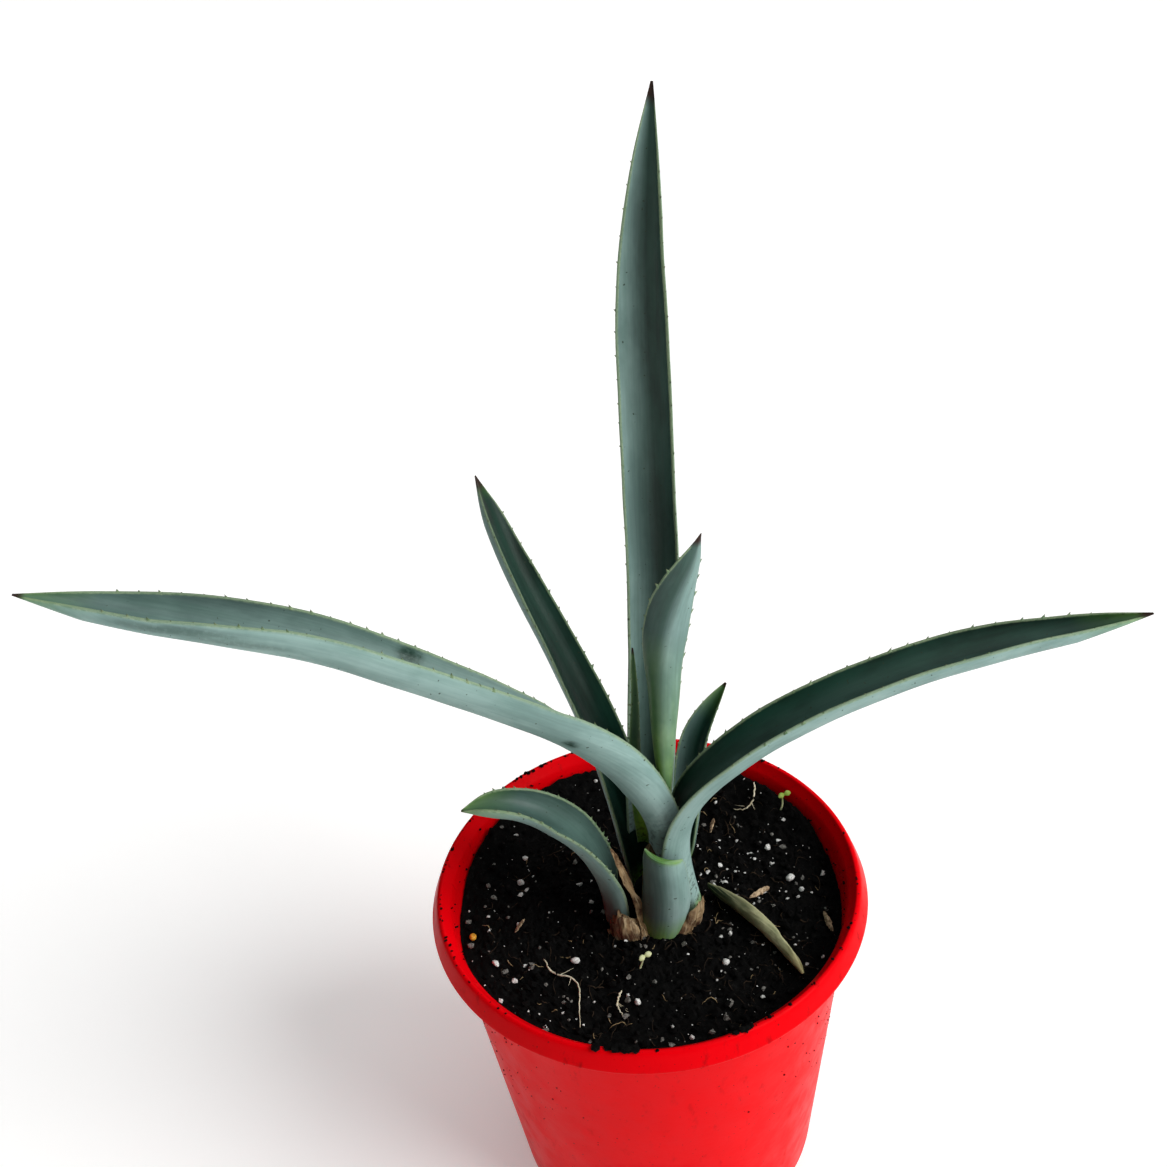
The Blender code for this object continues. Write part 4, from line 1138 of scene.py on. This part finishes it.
class AGAVE_OT_soil(bpy.types.Operator):
    """Build the soil with its crumbs, fibres and perlite"""
    bl_idname = "agave.soil"
    bl_label = "Soil"

    def execute(self, context):
        settings = context.scene.agave_soil
        peat = peat_mix()
        fibre = simple_natural("peat_fibre", 1.45, 0.85, "15100C", "3A2D20", 1.5, 0.1)
        straw = simple_natural("straw_fibre", 1.45, 0.8, "6F5B3F", "A8946E", 1.5, 0.1)
        white = simple_natural("expanded_perlite", 1.5, 0.85, "A9A9A3", "EDEDEA", 0.5, 0.12)
        grey = simple_natural("dusty_perlite", 1.5, 0.85, "3C3B38", "85837D", 0.5, 0.12)
        build_soil(peat)
        scatter_lumps("soil_crumbs", peat, settings.crumbs, (0.35, 1.9, 3.0), 11, 0.6, 0.7, 0.3)
        scatter_fibres("peat_fibres", fibre, settings.fibres, (2.5, 11.0), (0.2, 0.55), 12, 1.2, 0.25, 0.6)
        scatter_fibres("straw_fibres", straw, 46, (2.0, 8.0), (0.2, 0.5), 13, 1.0, 0.2, 0.5)
        scatter_lumps("perlite_specks", white, settings.perlite, (0.22, 1.3, 3.4), 14, 0.8, 0.75, 0.4,
                      1, (36.0, 12.0, 14.0, 0.28))
        scatter_lumps("perlite_dusty", grey, 240, (0.25, 1.4, 2.6), 15, 0.8, 0.75, 0.45)
        for i in range(1, 9):
            build_grain(f"perlite_grain_{i}", 20 + i, white)
        build_rim_dirt(peat)
        return {"FINISHED"}


class AGAVE_OT_leaves(bpy.types.Operator):
    """Build every living leaf with its teeth and terminal spine"""
    bl_idname = "agave.leaves"
    bl_label = "Leaves"

    def execute(self, context):
        skin = agave_cuticle()
        for i, (name, spec) in enumerate(LEAVES.items()):
            build_leaf(name, spec, context.scene.agave_leaf.seed + 7 * i, skin)
        return {"FINISHED"}


class AGAVE_OT_dead_leaves(bpy.types.Operator):
    """Build the dry sheaths, the twisted dead leaf and the wilted leaf on the soil"""
    bl_idname = "agave.dead_leaves"
    bl_label = "Dead leaves"

    def execute(self, context):
        paper = dead_leaf()
        for i, (name, spec) in enumerate(DRY_LEAVES.items()):
            build_dry_leaf(name, spec, 40 + i, paper)
        build_dry_leaf("fallen_leaf", FALLEN_LEAF, 44, wilted_leaf())
        return {"FINISHED"}


class AGAVE_OT_litter(bpy.types.Operator):
    """Build the bark chips, rootlets, seedlings and fertiliser bead, and finish the stem"""
    bl_idname = "agave.litter"
    bl_label = "Litter"

    def execute(self, context):
        bark = simple_natural("split_bark", 1.45, 0.85, "6A5440", "C9B08F", 1.2, 0.25, (1.0, 1.0, 1.0))
        root = simple_natural("pale_root", 1.4, 0.7, "B9AD8E", "E6DFC8", 1.5, 0.08)
        for i in range(1, 5):
            build_splinter(f"bark_chip_{i}", 50 + i, bark)
        for i, (name, route) in enumerate(ROOTLETS.items()):
            build_rootlet(name, route, 60 + i, root)
        sprout = seedling_tissue()
        build_seedling("seedling_front", 70, sprout, 3.0)
        build_seedling("seedling_right", 71, sprout, 5.0)
        build_grain("fertiliser_bead", 80, resin_prill(), 0.03, 4)
        stem = simple_natural("woody_stem", 1.45, 0.85, "3E2F20", "8A7350", 2.0, 0.3, (1.0, 1.0, 0.3))
        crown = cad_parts["root_crown"]
        crown.data.materials.clear()
        crown.data.materials.append(stem)
        return {"FINISHED"}


class AGAVE_OT_stage(bpy.types.Operator):
    """Set the paper floor, the studio lights and the camera"""
    bl_idname = "agave.stage"
    bl_label = "Stage"

    def execute(self, context):
        settings = context.scene.agave_stage
        paper, tree, shader = start_material("matt_paper_floor", 1.45, 0.9)
        shader.inputs["Emission Color"].default_value = linear("FFFFFF")
        shader.inputs["Emission Strength"].default_value = 0.3
        tone = pattern(tree, place_of(tree), 400.0, 1.0)
        tree.links.new(blend(tree, ramp(tree, tone, 0.3, 0.7), settings.floor, "FAFAF9"),
                       shader.inputs["Base Color"])
        bpy.ops.mesh.primitive_plane_add(size=40.0, location=(0.0, 0.0, -0.0003))
        floor = context.object
        floor.name = "paper_floor"
        floor.data.materials.append(paper)
        world = bpy.data.worlds.new("studio")
        world.use_nodes = True
        sky = world.node_tree.nodes["Background"]
        # The room is open and bright on the right and dim on the left.
        glow = world.node_tree
        side = add_node(glow, "SeparateXYZ", {0: add_node(glow, "TexCoord").outputs["Generated"]}).outputs[0]
        glow.links.new(blend(glow, ramp(glow, side, -0.6, 0.7), "1E1E20", "FFFFFF"), sky.inputs["Color"])
        sky.inputs["Strength"].default_value = 0.5
        context.scene.world = world
        window_light("window_right", (1.25, -0.6, 1.1), 40.0, 2.6)
        soft_light("overhead", (0.2, 0.3, 1.5), 1.2, 3.0)
        place_camera(context, settings)
        context.scene.view_settings.view_transform = "Standard"
        return {"FINISHED"}


def window_light(name, place, width_degrees, strength):
    """Far, wide and even light from one side."""
    light = bpy.data.lights.new(name, "SUN")
    light.angle = math.radians(width_degrees)
    light.energy = strength
    made = bpy.data.objects.new(name, light)
    made.rotation_euler = Vector(place).to_track_quat("Z", "Y").to_euler()
    bpy.context.scene.collection.objects.link(made)


def soft_light(name, place, size, watts):
    """A square soft box aimed at the middle of the plant."""
    light = bpy.data.lights.new(name, "AREA")
    light.size = size
    light.energy = watts
    made = bpy.data.objects.new(name, light)
    made.location = place
    made.rotation_euler = (Vector((0.0, 0.0, 0.18)) - made.location).to_track_quat("-Z", "Y").to_euler()
    bpy.context.scene.collection.objects.link(made)


def place_camera(context, settings):
    """Stand the camera over the front of the pot, looking down at the crown."""
    camera = bpy.data.cameras.new("camera")
    camera.sensor_width = 36.0
    camera.lens = settings.lens
    camera.clip_start = 0.02
    made = bpy.data.objects.new("camera", camera)
    turn = Matrix.Rotation(math.pi / 2 - settings.pitch, 4, "X") @ Matrix.Rotation(settings.roll, 4, "Z")
    made.matrix_world = Matrix.Translation(Vector(settings.place)) @ turn
    context.scene.collection.objects.link(made)
    context.scene.camera = made


class AGAVE_PT_panel(bpy.types.Panel):
    """Lists the settings and the build steps"""
    bl_idname = "AGAVE_PT_panel"
    bl_label = "Potted agave"
    bl_space_type = "VIEW_3D"
    bl_region_type = "UI"
    bl_category = "Agave"

    def draw(self, context):
        column = self.layout.column()
        for group in (context.scene.agave_pot, context.scene.agave_leaf, context.scene.agave_soil,
                      context.scene.agave_stage):
            for key in group.bl_rna.properties.keys():
                if key not in ("rna_type", "name"):
                    column.prop(group, key)
        for operator in OPERATORS:
            column.operator(operator.bl_idname)


OPERATORS = (AGAVE_OT_pot, AGAVE_OT_soil, AGAVE_OT_leaves, AGAVE_OT_dead_leaves, AGAVE_OT_litter, AGAVE_OT_stage)
GROUPS = {"agave_pot": AgavePotSettings, "agave_leaf": AgaveLeafSettings, "agave_soil": AgaveSoilSettings,
          "agave_stage": AgaveStageSettings}


def register():
    for group in GROUPS.values():
        bpy.utils.register_class(group)
    for key, group in GROUPS.items():
        setattr(bpy.types.Scene, key, bpy.props.PointerProperty(type=group))
    for item in (*OPERATORS, AGAVE_PT_panel):
        bpy.utils.register_class(item)


def unregister():
    for item in (AGAVE_PT_panel, *reversed(OPERATORS)):
        bpy.utils.unregister_class(item)
    for key, group in GROUPS.items():
        delattr(bpy.types.Scene, key)
        bpy.utils.unregister_class(group)


def main():
    register()
    bpy.ops.agave.pot()
    bpy.ops.agave.soil()
    bpy.ops.agave.leaves()
    bpy.ops.agave.dead_leaves()
    bpy.ops.agave.litter()
    bpy.ops.agave.stage()


if __name__ == "__main__":
    main()
